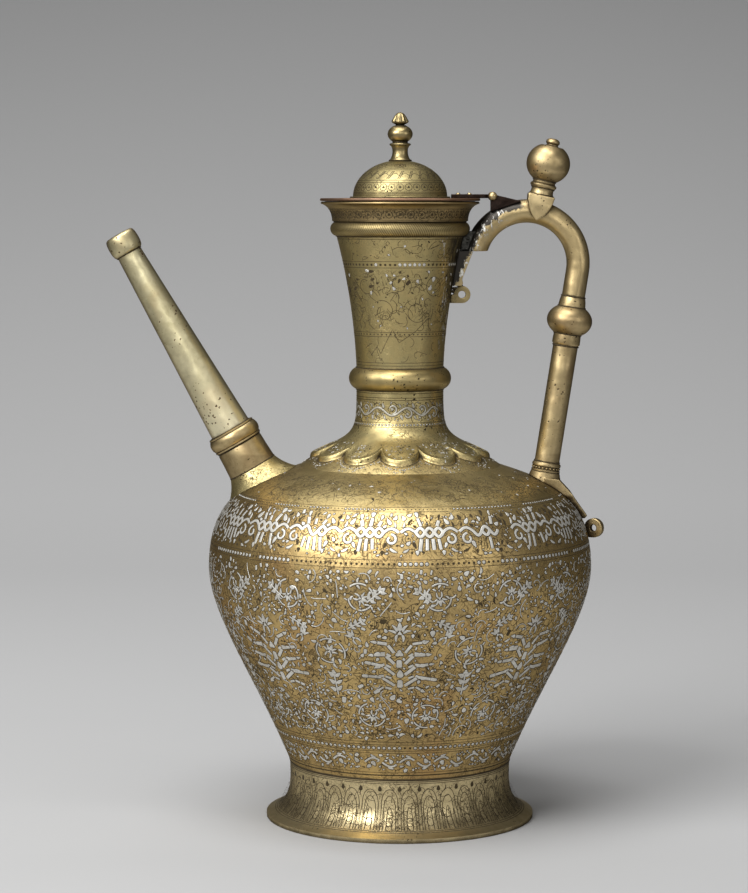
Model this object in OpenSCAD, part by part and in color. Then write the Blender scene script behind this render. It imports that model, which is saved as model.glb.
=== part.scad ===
// Brass ewer with a tall flared neck, a hinged domed lid, a straight spout and a loop handle.
// Millimetres, +Z up, origin at the centre of the foot on the floor. The spout points to -X
// and the handle to +X.

/* [Foot] */
// Radius of the foot at its edge
foot_r = 72.4; // [68:0.1:78]
// Height of the foot up to its joint with the body
foot_h = 31; // [28:0.5:35]
// Radius of the joint between foot and body
waist_r = 59.6; // [56:0.1:63]
// Height of the upright edge of the foot
foot_edge_h = 2.4; // [2:0.1:4]
// Width of the inner ledge that carries the base plate
foot_ledge_w = 7; // [5:0.5:10]

/* [Body] */
// Greatest radius of the body
body_r = 103.1; // [98:0.1:108]
// Height from the foot's joint to the widest place
flank_h = 106; // [98:1:114]
// Height from the widest place to the foot of the neck
shoulder_h = 55.3; // [50:0.1:60]
// Wall of the body, the foot and the neck
wall = 1.5; // [1.2:0.1:2]
// Thickness of the base plate
base_t = 1.5; // [1.2:0.1:2.5]

/* [Neck] */
// Radius of the lower neck
neck_r = 23.4; // [22:0.1:25]
// Height from the foot of the neck to the middle of the neck ring
collar_h = 45.7; // [42:0.1:50]
// Radius of the lobed apron at the tip of a lobe
apron_r = 48.5; // [46:0.1:50]
// Thickness of the apron's edge
apron_t = 3.6; // [3:0.1:4.5]
// Number of lobes of the apron
apron_lobes = 12; // [8:1:14]
// Radius of the neck ring
neck_ring_r = 27.5; // [26.5:0.1:29]
// Height of the neck ring
neck_ring_h = 11.8; // [10:0.1:13]
// Height from the neck ring's middle to the mouth ring's middle
neck_h = 80; // [74:1:86]
// Radius of the neck under the mouth ring
neck_top_r = 34; // [33:0.1:35]
// Radius of the mouth ring
mouth_ring_r = 37.4; // [36.8:0.1:38.5]
// Height of the mouth ring
mouth_ring_h = 8; // [7:0.1:9]
// Height from the mouth ring's middle to the lip
mouth_h = 14.4; // [12:0.1:17]
// Radius of the lip
mouth_r = 42.5; // [40:0.1:44]

/* [Lid] */
// Radius of the flat plate of the lid
plate_r = 42.9; // [42:0.1:44]
// Thickness of the flat plate
plate_t = 1.5; // [1.2:0.1:2]
// Gap between the lip and the closed lid
lid_gap = 0.3; // [0.3:0.05:0.6]
// Radius of the dome
dome_r = 25.2; // [23:0.1:26.5]
// Height of the dome above its flange
dome_h = 19.3; // [17:0.1:21]
// Width of the flange round the dome
flange_w = 1.6; // [1:0.1:2]
// Thickness of the flange
flange_t = 0.9; // [0.7:0.1:1.2]
// Wall of the dome
dome_wall = 1.2; // [1:0.1:1.8]
// Height of the pedestal under the finial ball
pedestal_h = 9.6; // [8:0.1:11]
// Radius of the pedestal at its foot
pedestal_r = 5.9; // [5.5:0.1:6.5]
// Radius of the finial ball
finial_ball_r = 6.7; // [6:0.1:7.5]
// Height of the finial ball
finial_ball_h = 8.6; // [8:0.1:10]
// Height of the finial bud
bud_h = 7.2; // [6.5:0.1:8]
// Radius of the finial bud
bud_r = 4.6; // [4.2:0.1:5]

/* [Hinge] */
// Distance from the lid plate's edge to the hinge pin
hinge_reach = 6.4; // [5.5:0.1:7.5]
// Radius of the hinge pin
pin_r = 1.2; // [1:0.05:1.4]
// Running clearance between the pin and the lid's barrel
pin_clear = 0.05; // [0.02:0.01:0.09]
// Radius of the hinge barrels
barrel_r = 2.2; // [2:0.1:2.4]
// Length of the lid's barrel
barrel_w = 5; // [4:0.1:6]
// Width of one ear of the bracket
ear_w = 2.7; // [2.2:0.1:3.2]
// Gap between the barrel and an ear
ear_gap = 0.3; // [0.25:0.05:0.4]
// Radius of the pin's round ends
pin_head_r = 2.35; // [2:0.05:2.6]
// Thickness of the lid strap
strap_t = 2.1; // [1.8:0.1:2.4]
// Width of the lid strap
strap_w = 9; // [7:0.1:10]
// Length of the bracket behind the pin
bracket_len = 15; // [12:0.5:17]

/* [Handle] */
// Radius of the handle's bar in the arch
bar_r = 6.25; // [5.8:0.05:6.7]
// Radius of the arch at the middle of its bar
arch_r = 27.8; // [25:0.1:30]
// Height of the mouth ring's middle over the centre of the arch
arch_drop = 18.4; // [17:0.1:20]
// Height of the arch's cut end over its centre
arch_rise = 6.4; // [5:0.1:8]
// Gap between the neck and the arch at the cut end
arch_gap = 2.2; // [1.5:0.1:3]
// Distance from the widest place inwards to where the shaft meets the shoulder
handle_inset = 25.5; // [21:0.1:28]
// Straight length of the arch above the upper collar
arch_leg = 13.8; // [11:0.1:16]
// Length of the upper collar
upper_collar_h = 5.7; // [4.5:0.1:7]
// Radius of the upper collar at the knop
upper_collar_r = 7.3; // [6.9:0.1:8]
// Radius of the knop
knop_r = 12.2; // [11:0.1:13]
// Height of the knop
knop_h = 14.6; // [13:0.1:16]
// Length of the lower collar
lower_collar_h = 6.4; // [5.5:0.1:8]
// Radius of the lower collar
lower_collar_r = 7.5; // [7.3:0.1:8]
// Radius of the shaft
shaft_r = 6.7; // [6.2:0.05:7]
// Height of the beaded ring
bead_ring_h = 5.4; // [4.5:0.1:6.5]
// Radius of the beaded ring
bead_ring_r = 7.7; // [7.3:0.1:8.2]
// Height of the beaded ring over the shoulder
terminal_rise = 5.6; // [5:0.1:7]
// Half width of the lower terminal
terminal_w = 9.5; // [8.5:0.1:11]
// Half width of the upper terminal
tongue_w = 7.5; // [6.5:0.1:8.5]
// Height of the upper terminal
tongue_h = 18.6; // [17:0.1:21]
// Radius of the upper lug
upper_lug_r = 4.6; // [4.2:0.1:5]
// Radius of the hole in the upper lug
upper_lug_hole_r = 1.95; // [1.6:0.05:2.3]
// Radius of the lower lug
lower_lug_r = 5.2; // [4.8:0.1:5.6]
// Radius of the hole in the lower lug
lower_lug_hole_r = 1.9; // [1.6:0.05:2.3]
// Thickness of the lugs
lug_t = 3.6; // [3:0.1:4.2]

/* [Thumb knob] */
// Lean of the knob away from the neck, in degrees
knob_lean = 12.3; // [10:0.1:15]
// Width of the saddle
saddle_w = 14.2; // [13:0.1:15]
// Height of the saddle's top over the bar
saddle_top = 3; // [2.4:0.1:4]
// Thickness of the saddle's cheeks
cheek_t = 1.8; // [1.4:0.1:2.4]
// Height of the stem
stem_h = 7.9; // [7:0.1:9]
// Radius of the stem
stem_r = 6; // [5.5:0.1:6.5]
// Radius of the ring round the stem
stem_ring_r = 7.1; // [6.8:0.1:7.6]
// Radius of the ball
ball_r = 11.7; // [11:0.1:12.5]
// Height of the ball
ball_h = 18.6; // [17:0.1:20]
// Height of the button on the ball
button_h = 4.2; // [3.6:0.1:5]
// Radius of the button
button_r = 3.75; // [3.4:0.05:4.2]

/* [Spout] */
// Lean of the spout away from the neck, in degrees
spout_lean = 29.65; // [27:0.1:32]
// Distance from the apron's edge outwards to where the spout meets the shoulder
spout_inset = 27.3; // [24:0.1:30]
// Height of the flange along the spout
flange_h = 7.8; // [6.5:0.1:9]
// Radius of the trumpet curve of the flange
flange_curve_r = 27; // [24:0.5:32]
// Length of the socket
socket_h = 14.8; // [12:0.1:17]
// Radius of the socket at the flange
socket_r = 13.45; // [13:0.05:14]
// Length of the spout ring
spout_ring_h = 8.8; // [8:0.1:10]
// Radius of the spout ring
spout_ring_r = 14.3; // [13.8:0.1:15.5]
// Length of the tapered tube
spout_h = 109; // [100:1:118]
// Radius of the tube at the ring
spout_low_r = 11.25; // [10.8:0.05:11.8]
// Radius of the tube at the mouthpiece
spout_top_r = 6.85; // [6.5:0.05:7.2]
// Wall of the spout
spout_wall = 1.4; // [1.2:0.1:1.6]
// Length of the mouthpiece
mouthpiece_h = 11.4; // [10:0.1:13]
// Radius of the mouthpiece
mouthpiece_r = 8.8; // [8.2:0.1:9.4]
// Radius of the pouring hole
pour_r = 4.6; // [4.2:0.05:5]

/* [Hidden] */

$fn = 96;

// Overrun of a cut past the solid it cuts
over = 1;
// Length of a cutting block that reaches past every solid it cuts
reach = 2 * body_r;

// Colours
brass = [0.66, 0.55, 0.30];
pale_brass = [0.72, 0.62, 0.40];
copper = [0.62, 0.40, 0.30];
dark_solder = [0.22, 0.22, 0.20];

// Levels, and the places where handle and spout meet the shoulder
handle_foot_r = body_r - handle_inset;
spout_foot_r = apron_r + spout_inset;
belly_z = foot_h + flank_h;
shoulder_z = belly_z + shoulder_h;
neck_ring_z = shoulder_z + collar_h;
mouth_ring_z = neck_ring_z + neck_h;
lip_z = mouth_ring_z + mouth_h;
plate_z = lip_z + lid_gap;
plate_top_z = plate_z + plate_t;
dome_z = plate_top_z + flange_t;
dome_top_z = dome_z + dome_h;
finial_ball_z = dome_top_z + pedestal_h;
bud_z = finial_ball_z + finial_ball_h;

// Curve helpers: a cubic curve through shares of a box, a quadratic curve and a wall offset
function cubic(p, t) = pow(1 - t, 3) * p[0] + 3 * pow(1 - t, 2) * t * p[1]
  + 3 * (1 - t) * t * t * p[2] + pow(t, 3) * p[3];
function quadratic(p, t) = pow(1 - t, 2) * p[0] + 2 * (1 - t) * t * p[1] + t * t * p[2];
function in_box(shares, a, b) = [
  for (s = shares) [a[0] + (b[0] - a[0]) * s[0], a[1] + (b[1] - a[1]) * s[1]]
];
function cubic_line(p, n, from = 0) = [for (i = [from:n]) cubic(p, i / n)];
function quadratic_line(p, n, from = 0) = [for (i = [from:n]) quadratic(p, i / n)];
function unit(v) = v / norm(v);
function left_of(v) = [-v[1], v[0]];
function inside(pts, d) = [
  for (i = [0:len(pts) - 1])
    let (a = pts[max(i - 1, 0)], b = pts[min(i + 1, len(pts) - 1)])
    pts[i] + left_of(unit(b - a)) * d
];
function flipped(pts) = [for (i = [len(pts) - 1:-1:0]) pts[i]];

// Body outline: flank, shoulder and the hollow curve up to the neck
flank_shares = [[0, 0], [0.44, 0.44], [1, 0.76], [1, 1]];
shoulder_shares = [[0, 0], [0, 0.76], [0.54, 0.84], [1, 1]];
throat_shares = [[0, 0], [0.37, 0.12], [1, 0.17], [1, 1]];
throat_h_share = 0.72;
shoulder_end_r = apron_r + 1.5 * wall;
throat_r = neck_r - wall;
throat_z = shoulder_z + collar_h * throat_h_share;
waist_p = [waist_r, foot_h];
belly_p = [body_r, belly_z];
shoulder_p = [shoulder_end_r, shoulder_z];
throat_p = [throat_r, throat_z];
flank_line = cubic_line(in_box(flank_shares, waist_p, belly_p), 14);
shoulder_line = cubic_line(in_box(shoulder_shares, belly_p, shoulder_p), 14, 1);
throat_line = cubic_line(in_box(throat_shares, shoulder_p, throat_p), 8, 1);
body_line = concat(flank_line, shoulder_line, throat_line);
body_inner = inside(body_line, wall);
function shoulder_level(r) = lookup(-r, [for (p = concat([belly_p], shoulder_line)) [-p[0], p[1]]]);

// Filled solid of the body's outer face, for seating what lies on it
module body_block() {
  rotate_extrude()
    polygon(concat([[0, foot_h]], body_line, [[0, throat_z]]));
}

module vessel_body() {
  inner = body_inner;
  last = len(inner) - 1;
  line = [for (i = [1:last - 1]) inner[i]];
  low = [waist_r - wall, foot_h];
  top = [throat_r - wall, throat_z];
  color(brass)
    difference() {
      rotate_extrude()
        polygon(concat(body_line, [top], flipped(line), [low]));
      along_spout(-flange_curve_r)
        cylinder(r = spout_low_r - spout_wall, h = flange_curve_r + flange_h);
    }
}

// Foot: flared ring with a ledge that carries the base plate
foot_shares = [[0, 0], [0, 0.64], [0.31, 0.84], [1, 1]];
foot_waist_share = 0.76;
foot_seat_p = [waist_r, foot_h];
foot_waist_p = [waist_r - wall / 7, foot_h * foot_waist_share];
foot_edge_p = [foot_r, foot_edge_h];
foot_line = cubic_line(in_box(foot_shares, foot_waist_p, foot_edge_p), 12);
ledge_t = 1.5 * wall;

module foot_ring() {
  inner = inside(foot_line, -wall);
  line = [for (i = [1:len(inner) - 2]) inner[i]];
  outer_side = concat([foot_seat_p], foot_line, [[foot_r, 0], [foot_r - wall, 0]]);
  inner_side = concat(flipped(line), [
    [waist_r - 1.5 * wall, foot_h - ledge_t - wall],
    [waist_r - foot_ledge_w, foot_h - ledge_t],
    [waist_r - foot_ledge_w, foot_h]
  ]);
  color(brass)
    rotate_extrude()
      polygon(concat(outer_side, inner_side));
}

base_clear = 0.3;
module base_plate() {
  color(brass)
    translate([0, 0, foot_h])
      cylinder(r = waist_r - wall - base_clear, h = base_t);
}

// Neck collar: sleeve over the body's throat, flaring into a lobed apron
trumpet_shares = [[0, 0], [0.8, 0.34], [1, 0.32], [1, 1]];
apron_lip_r = apron_r - apron_t / 2;
apron_lip_z = shoulder_level(apron_r) + apron_t * 1.6;
lobe_r_share = 0.268;
lobe_r = apron_r * lobe_r_share;

module lobe_outline() {
  for (i = [0:apron_lobes - 1])
    rotate([0, 0, i * 360 / apron_lobes - 90])
      translate([apron_r - lobe_r, 0])
        circle(r = lobe_r);
  circle(r = apron_r - lobe_r);
}

module neck_collar() {
  trumpet = cubic_line(in_box(trumpet_shares, [apron_lip_r, apron_lip_z], [neck_r, throat_z]), 12);
  lip = [
    [apron_r, apron_lip_z - apron_t * 1.2],
    [apron_r, apron_lip_z - apron_t / 2],
    [apron_r - apron_t / 8, apron_lip_z - apron_t / 5]
  ];
  top = [[neck_r, neck_ring_z], [throat_r, neck_ring_z]];
  foot = [[throat_r, apron_lip_z - apron_t * 1.2]];
  color(brass)
    difference() {
      intersection() {
        rotate_extrude()
          polygon(concat(lip, trumpet, top, foot));
        linear_extrude(height = neck_ring_z + over)
          lobe_outline();
      }
      body_block();
    }
}

// Round moulding: bulges by d to radius r over the height h, with a bore of radius a
module moulding(a, r, h, d) {
  bulge_r = (h * h / 4 + d * d) / (2 * d);
  rotate_extrude()
    intersection() {
      translate([r - bulge_r, 0])
        circle(r = bulge_r);
      translate([a, -h / 2])
        square([r, h]);
    }
}

module neck_ring() {
  color(brass)
    translate([0, 0, neck_ring_z])
      moulding(neck_r, neck_ring_r, neck_ring_h, neck_ring_r - neck_r);
}

// Upper neck: seated in the neck ring, flaring up to the mouth ring
neck_bend_share = 0.14;
neck_low_z = neck_ring_z + neck_ring_h / 2;
neck_high_z = mouth_ring_z - mouth_ring_h / 2;
neck_bend_p = [neck_r + (neck_top_r - neck_r) * neck_bend_share, (neck_low_z + neck_high_z) / 2];
neck_bend = [[neck_r, neck_low_z], neck_bend_p, [neck_top_r, neck_high_z]];
neck_line = quadratic_line(neck_bend, 12);
function neck_at(z) = lookup(z, [for (p = neck_line) [p[1], p[0]]]);

// Filled solid of the neck's outer face, for seating what lies on it
module neck_block() {
  rotate_extrude()
    polygon(concat([[0, neck_low_z]], neck_line, [[neck_top_r, mouth_ring_z], [0, mouth_ring_z]]));
}

module neck_tube() {
  outer = concat([[neck_r, neck_ring_z]], neck_line, [[neck_top_r, mouth_ring_z]]);
  inner = [for (p = outer) [p[0] - wall, p[1]]];
  color(brass)
    rotate_extrude()
      polygon(concat(outer, flipped(inner)));
}

module mouth_ring() {
  color(brass)
    translate([0, 0, mouth_ring_z])
      moulding(neck_top_r, mouth_ring_r, mouth_ring_h, mouth_ring_r - neck_top_r);
}

mouth_low_z = mouth_ring_z + mouth_ring_h / 2;
mouth_wall_r = mouth_ring_r - 1;
lip_t = 1.2;
mouth_shares = [[0, 0], [0, 0.45], [0.3, 0.88], [1, 1]];
function mouth_box(shrink) = in_box(
  mouth_shares, [mouth_wall_r - shrink, mouth_low_z], [mouth_r - shrink / 2, lip_z - lip_t + shrink / 2]
);

module mouth_rim() {
  outer = cubic_line(mouth_box(0), 10);
  inner = flipped(cubic_line(mouth_box(2 * wall), 10));
  color(brass)
    rotate_extrude()
      polygon(concat(
        [[neck_top_r, mouth_ring_z], [neck_top_r, mouth_low_z]],
        outer,
        [[mouth_r, lip_z], [mouth_r - 2 * wall, lip_z]],
        inner,
        [[neck_top_r - wall, mouth_low_z], [neck_top_r - wall, mouth_ring_z]]
      ));
}

// Lid: flat plate, dome and finial
rivet_r = 0.8;
rivet_head_r = 1.4;
rivet_head_h = 0.8;
strap_start = dome_r + flange_w + 0.5 * flange_t;
barrel_x = plate_r + hinge_reach;
pin_z = plate_top_z + strap_t / 2;
strap_end = barrel_x - 1.6 * barrel_r;
rivet_places = [0.24, 0.62];
function rivet_x(s) = strap_start + (plate_r - strap_start) * s;

module rivet_shanks() {
  for (s = rivet_places)
    translate([rivet_x(s), 0, plate_z])
      cylinder(r = rivet_r, h = plate_t + strap_t);
}

module lid_plate() {
  color(copper)
    difference() {
      translate([0, 0, plate_z])
        cylinder(r = plate_r, h = plate_t);
      rivet_shanks();
    }
}

module lid_dome() {
  turns = 12;
  outer = [for (i = [0:turns - 1]) [dome_r * cos(90 * i / turns), dome_z + dome_h * sin(90 * i / turns)]];
  in_r = dome_r - dome_wall;
  in_h = dome_h - dome_wall;
  inner = [for (i = [turns - 1:-1:0]) [in_r * cos(90 * i / turns), dome_z + in_h * sin(90 * i / turns)]];
  flange = [[dome_r + flange_w, plate_top_z], [dome_r + flange_w, dome_z]];
  color(brass)
    rotate_extrude()
      polygon(concat(
        flange, outer, [[0, dome_top_z], [0, dome_top_z - dome_wall]], inner, [[in_r, plate_top_z]]
      ));
}

// Height of the dome's face at radius r
function dome_level(r) = dome_z + dome_h * sqrt(1 - pow(r / dome_r, 2));

pedestal_shares = [[0, 0], [0.6, 0.5], [0.6, 0.55], [0.1, 1]];
module finial_pedestal() {
  low = dome_level(pedestal_r) - dome_top_z;
  flare = in_box(pedestal_shares, [pedestal_r, 0], [pedestal_r / 2, pedestal_h]);
  color(pale_brass)
    difference() {
      translate([0, 0, dome_top_z])
        rotate_extrude()
          polygon(concat([[0, low], [pedestal_r, low]], cubic_line(flare, 10), [[0, pedestal_h]]));
      dome_block();
    }
}

// Filled solid of the dome's outer face
module dome_block() {
  turns = 12;
  outer = [for (i = [0:turns]) [dome_r * cos(90 * i / turns), dome_z + dome_h * sin(90 * i / turns)]];
  rotate_extrude()
    polygon(concat([[0, dome_z]], outer));
}

// Squat ball of radius r and height h with flat ends of radius end_r, standing on z = 0
module squat_ball(r, h, end_r) {
  lift = acos(end_r / r);
  steps = 14;
  rotate_extrude()
    polygon(concat(
      [[0, 0]],
      [for (i = [0:steps])
        let (a = -lift + 2 * lift * i / steps)
        [r * cos(a), h / 2 + h / 2 * sin(a) / sin(lift)]],
      [[0, h]]
    ));
}

finial_neck_r = 3.4;
module finial_ball() {
  color(pale_brass)
    translate([0, 0, finial_ball_z])
      squat_ball(finial_ball_r, finial_ball_h, finial_neck_r);
}

bud_shares = [[0.6, 0], [0.6, 0.11], [1, 0.28], [0.98, 0.38], [0.72, 0.71], [0.42, 0.93], [0.2, 1]];
module finial_bud() {
  color(pale_brass)
    translate([0, 0, bud_z])
      rotate_extrude()
        polygon(concat([[0, 0]], in_box(bud_shares, [0, 0], [bud_r, bud_h]), [[0, bud_h]]));
}

// Hinge, with the pin along Y
module along_pin(w) {
  translate([barrel_x, w / 2, pin_z])
    rotate([90, 0, 0])
      children();
}

module lid_strap() {
  color(dark_solder)
    difference() {
      union() {
        translate([strap_start, -strap_w / 2, plate_top_z])
          cube([strap_end - strap_start, strap_w, strap_t]);
        translate([strap_start, -barrel_w / 2, plate_top_z])
          cube([barrel_x - strap_start, barrel_w, strap_t]);
        along_pin(barrel_w)
          cylinder(r = barrel_r, h = barrel_w, $fn = 48);
      }
      along_pin(barrel_w + 2 * over)
        cylinder(r = pin_r + pin_clear, h = barrel_w + 2 * over, $fn = 48);
      rivet_shanks();
    }
}

module strap_rivets() {
  color(pale_brass)
    for (s = rivet_places)
      translate([rivet_x(s), 0, 0]) {
        translate([0, 0, plate_z])
          cylinder(r = rivet_r, h = plate_t + strap_t, $fn = 32);
        translate([0, 0, plate_top_z + strap_t])
          cylinder(r1 = rivet_head_r, r2 = rivet_head_r / 2, h = rivet_head_h, $fn = 32);
      }
}

hinge_w = barrel_w + 2 * ear_gap + 2 * ear_w;

module hinge_pin() {
  color(pale_brass)
    union() {
      along_pin(hinge_w)
        cylinder(r = pin_r, h = hinge_w, $fn = 48);
      for (side = [0, 1])
        translate([barrel_x, 0, pin_z])
          mirror([0, side, 0])
            difference() {
              translate([0, hinge_w / 2 + pin_head_r / 2, 0])
                sphere(r = pin_head_r, $fn = 48);
              translate([-pin_head_r, hinge_w / 2 - 2 * pin_head_r, -pin_head_r])
                cube([2 * pin_head_r, 2 * pin_head_r, 2 * pin_head_r]);
            }
    }
}

// Handle: centre of the arch, tangent from the shoulder, and the shaft's frame
arch_z = mouth_ring_z - arch_drop;
cut_z = arch_z + arch_rise;
cut_dx = sqrt(arch_r * arch_r - arch_rise * arch_rise);
arch_x = neck_at(cut_z) + arch_gap + bar_r + cut_dx;
foot_z = shoulder_level(handle_foot_r);
to_arch = [arch_x - handle_foot_r, arch_z - foot_z];
tangent_len = sqrt(pow(norm(to_arch), 2) - arch_r * arch_r);
shaft_lean = 90 - (atan2(to_arch[1], to_arch[0]) - asin(arch_r / norm(to_arch)));
shaft_len = tangent_len - arch_leg - upper_collar_h - knop_h - lower_collar_h
  - bead_ring_h - terminal_rise;

// Puts children on the shaft's axis, at a distance above the shoulder, +Z up the shaft
module on_shaft(d) {
  translate([handle_foot_r, 0, foot_z])
    rotate([0, shaft_lean, 0])
      translate([0, 0, d])
        children();
}

level_bead = terminal_rise;
level_shaft = level_bead + bead_ring_h;
level_lower_collar = level_shaft + shaft_len;
level_knop = level_lower_collar + lower_collar_h;
level_upper_collar = level_knop + knop_h;

// Bent bar of the arch with its straight leg, cut flat beside the neck
module arch_block() {
  difference() {
    translate([arch_x, 0, arch_z])
      rotate([0, shaft_lean, 0]) {
        rotate([90, 0, 0])
          rotate_extrude(angle = 180 + 2 * shaft_lean)
            translate([arch_r, 0])
              circle(r = bar_r);
        translate([arch_r, 0, -arch_leg])
          cylinder(r = bar_r, h = arch_leg);
      }
    translate([-reach, -reach, cut_z - reach])
      cube([reach + arch_x, 2 * reach, reach]);
  }
}

module handle_arch() {
  color(pale_brass)
    arch_block();
}

module upper_collar() {
  color(pale_brass)
    on_shaft(level_upper_collar)
      cylinder(r1 = upper_collar_r, r2 = bar_r, h = upper_collar_h);
}

module handle_knop() {
  color(pale_brass)
    on_shaft(level_knop)
      squat_ball(knop_r, knop_h, upper_collar_r);
}

module lower_collar() {
  color(pale_brass)
    on_shaft(level_lower_collar)
      rotate_extrude()
        polygon([
          [0, 0], [shaft_r, 0], [lower_collar_r, lower_collar_h / 5],
          [lower_collar_r, lower_collar_h * 0.8], [lower_collar_r - wall / 5, lower_collar_h],
          [0, lower_collar_h]
        ]);
}

module handle_shaft() {
  color(pale_brass)
    on_shaft(level_shaft)
      cylinder(r = shaft_r, h = shaft_len);
}

module beaded_ring() {
  bead_r = bead_ring_h / 8;
  color(pale_brass)
    on_shaft(level_bead)
      rotate_extrude()
        polygon([
          [0, 0], [bead_ring_r, 0], [bead_ring_r, bead_ring_h / 5],
          [bead_ring_r - bead_r, bead_ring_h / 4], [bead_ring_r - bead_r, bead_ring_h / 2],
          [bead_ring_r, bead_ring_h * 0.55], [bead_ring_r, bead_ring_h * 0.8],
          [shaft_r, bead_ring_h], [0, bead_ring_h]
        ]);
}

// Lower terminal: a flared foot with a tongue that lies over the shoulder
nub_r = 1.6;
tongue_fall = 14.5;
terminal_end_share = 0.455;
terminal_end_z = belly_z + shoulder_h * terminal_end_share;
function body_at(z) = lookup(z, [for (p = concat([belly_p], shoulder_line)) [p[1], p[0]]]);

module lower_terminal() {
  top_r = bead_ring_r;
  ridge = 2.9;
  mid_z = (foot_z + terminal_end_z) / 2;
  color(pale_brass)
    difference() {
      union() {
        on_shaft(-bead_ring_h)
          cylinder(r1 = terminal_w + wall, r2 = top_r, h = bead_ring_h + terminal_rise);
        intersection() {
          translate([0, reach / 2, 0])
            rotate([90, 0, 0])
              linear_extrude(height = reach)
                polygon([
                  [handle_foot_r, foot_z - terminal_rise],
                  [handle_foot_r, foot_z + terminal_rise / 2],
                  [handle_foot_r + top_r, foot_z + terminal_rise / 3],
                  [body_at(mid_z + tongue_fall * 0.25) + 1.6 * ridge, mid_z + tongue_fall * 0.3],
                  [body_at(mid_z) + 1.25 * ridge, mid_z],
                  [body_at(terminal_end_z) + ridge, terminal_end_z + nub_r],
                  [body_at(terminal_end_z) + ridge / 2, terminal_end_z],
                  [body_at(terminal_end_z) - ridge, terminal_end_z],
                  [handle_foot_r, mid_z - ridge]
                ]);
          rotate([90, 0, 90])
            linear_extrude(height = reach)
              polygon([
                [-terminal_w, foot_z + terminal_rise], [-terminal_w, mid_z + ridge],
                [-terminal_w * 0.72, mid_z - ridge], [-nub_r * 1.5, terminal_end_z],
                [nub_r * 1.5, terminal_end_z], [terminal_w * 0.72, mid_z - ridge],
                [terminal_w, mid_z + ridge], [terminal_w, foot_z + terminal_rise]
              ]);
        }
      }
      body_block();
    }
}

// Lugs: small rings with a hole across the handle
lug_turn = 28;
lower_lug_z = terminal_end_z - lower_lug_r;
lower_lug_x = body_at(lower_lug_z) + lower_lug_r * 0.9;
upper_lug_z = cut_z - tongue_h - upper_lug_r;
upper_lug_x = neck_at(upper_lug_z) + upper_lug_r * 1.25;

module lug(r, hole_r, foot_len) {
  rotate([90, 0, 0])
    difference() {
      union() {
        cylinder(r = r, h = lug_t, center = true, $fn = 48);
        translate([-foot_len, -r, -lug_t / 2])
          cube([foot_len, r, lug_t]);
      }
      cylinder(r = hole_r, h = lug_t + 2 * over, center = true, $fn = 48);
    }
}

module lower_lug() {
  color(pale_brass)
    difference() {
      translate([lower_lug_x, 0, lower_lug_z])
        rotate([0, 0, -lug_turn])
          lug(lower_lug_r, lower_lug_hole_r, 1.4 * lower_lug_r);
      body_block();
    }
}

module upper_lug() {
  color(pale_brass)
    difference() {
      translate([upper_lug_x, 0, upper_lug_z])
        lug(upper_lug_r, upper_lug_hole_r, 1.6 * upper_lug_r);
      neck_block();
    }
}

module upper_terminal() {
  top_x = arch_x - cut_dx - bar_r * 0.24;
  low_z = cut_z - tongue_h;
  low_x = neck_at(low_z) + bar_r * 0.8;
  color(pale_brass)
    difference() {
      intersection() {
        translate([0, reach / 2, 0])
          rotate([90, 0, 0])
            linear_extrude(height = reach)
              polygon([
                [neck_r, low_z], [low_x, low_z], [low_x + nub_r / 3, low_z + nub_r],
                [low_x, low_z + 2.2 * nub_r], [top_x, cut_z], [neck_r, cut_z]
              ]);
        rotate([90, 0, 90])
          linear_extrude(height = reach)
            polygon([
              [-tongue_w, cut_z], [-tongue_w * 0.5, low_z],
              [tongue_w * 0.5, low_z], [tongue_w, cut_z]
            ]);
      }
      neck_block();
      translate([upper_lug_x, 0, upper_lug_z])
        rotate([90, 0, 0])
          cylinder(r = upper_lug_r, h = reach, center = true, $fn = 48);
    }
}

// Old solder between the neck, the mouth ring and the arch
solder_w_share = 0.8;
module upper_solder() {
  $fn = 192;
  half = bar_r * solder_w_share;
  side = arch_x - (arch_r + bar_r) * cos(30);
  high = arch_z + (arch_r + bar_r) * sin(30);
  color(dark_solder)
    difference() {
      translate([0, half, 0])
        rotate([90, 0, 0])
          linear_extrude(height = 2 * half)
            polygon([
              [neck_r, cut_z], [arch_x - cut_dx, cut_z], [side + bar_r, high],
              [side - wall, high], [neck_r, mouth_ring_z - wall]
            ]);
      neck_block();
      arch_block();
      mouth_ring();
    }
}

// Hinge bracket, soldered on the arch
bracket_tip_x = barrel_x + bracket_len;
outer_arch = arch_r + bar_r;
function arch_top(x) = arch_z + sqrt(outer_arch * outer_arch - pow(x - arch_x, 2));
function arch_mid(x) = arch_z + sqrt(arch_r * arch_r - pow(x - arch_x, 2));

module hinge_bracket() {
  left = barrel_x - barrel_r * 0.4;
  color(dark_solder)
    difference() {
      union() {
        translate([0, hinge_w / 2, 0])
          rotate([90, 0, 0])
            linear_extrude(height = hinge_w)
              polygon([
                [barrel_x, pin_z + barrel_r], [bracket_tip_x, arch_top(bracket_tip_x) + flange_t / 3],
                [bracket_tip_x, arch_mid(bracket_tip_x)], [left, arch_mid(left)], [left, pin_z]
              ]);
        along_pin(hinge_w)
          cylinder(r = barrel_r, h = hinge_w, $fn = 48);
      }
      arch_block();
      translate([barrel_x - reach, -barrel_w / 2 - ear_gap, arch_z])
        cube([reach + 1.25 * barrel_r, barrel_w + 2 * ear_gap, reach]);
      along_pin(hinge_w + 2 * over)
        cylinder(r = pin_r, h = hinge_w + 2 * over, $fn = 48);
    }
}

// Thumb knob, on a line from the arch's centre
module on_arch(d) {
  translate([arch_x, 0, arch_z])
    rotate([0, knob_lean, 0])
      translate([0, 0, d])
        children();
}

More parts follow.
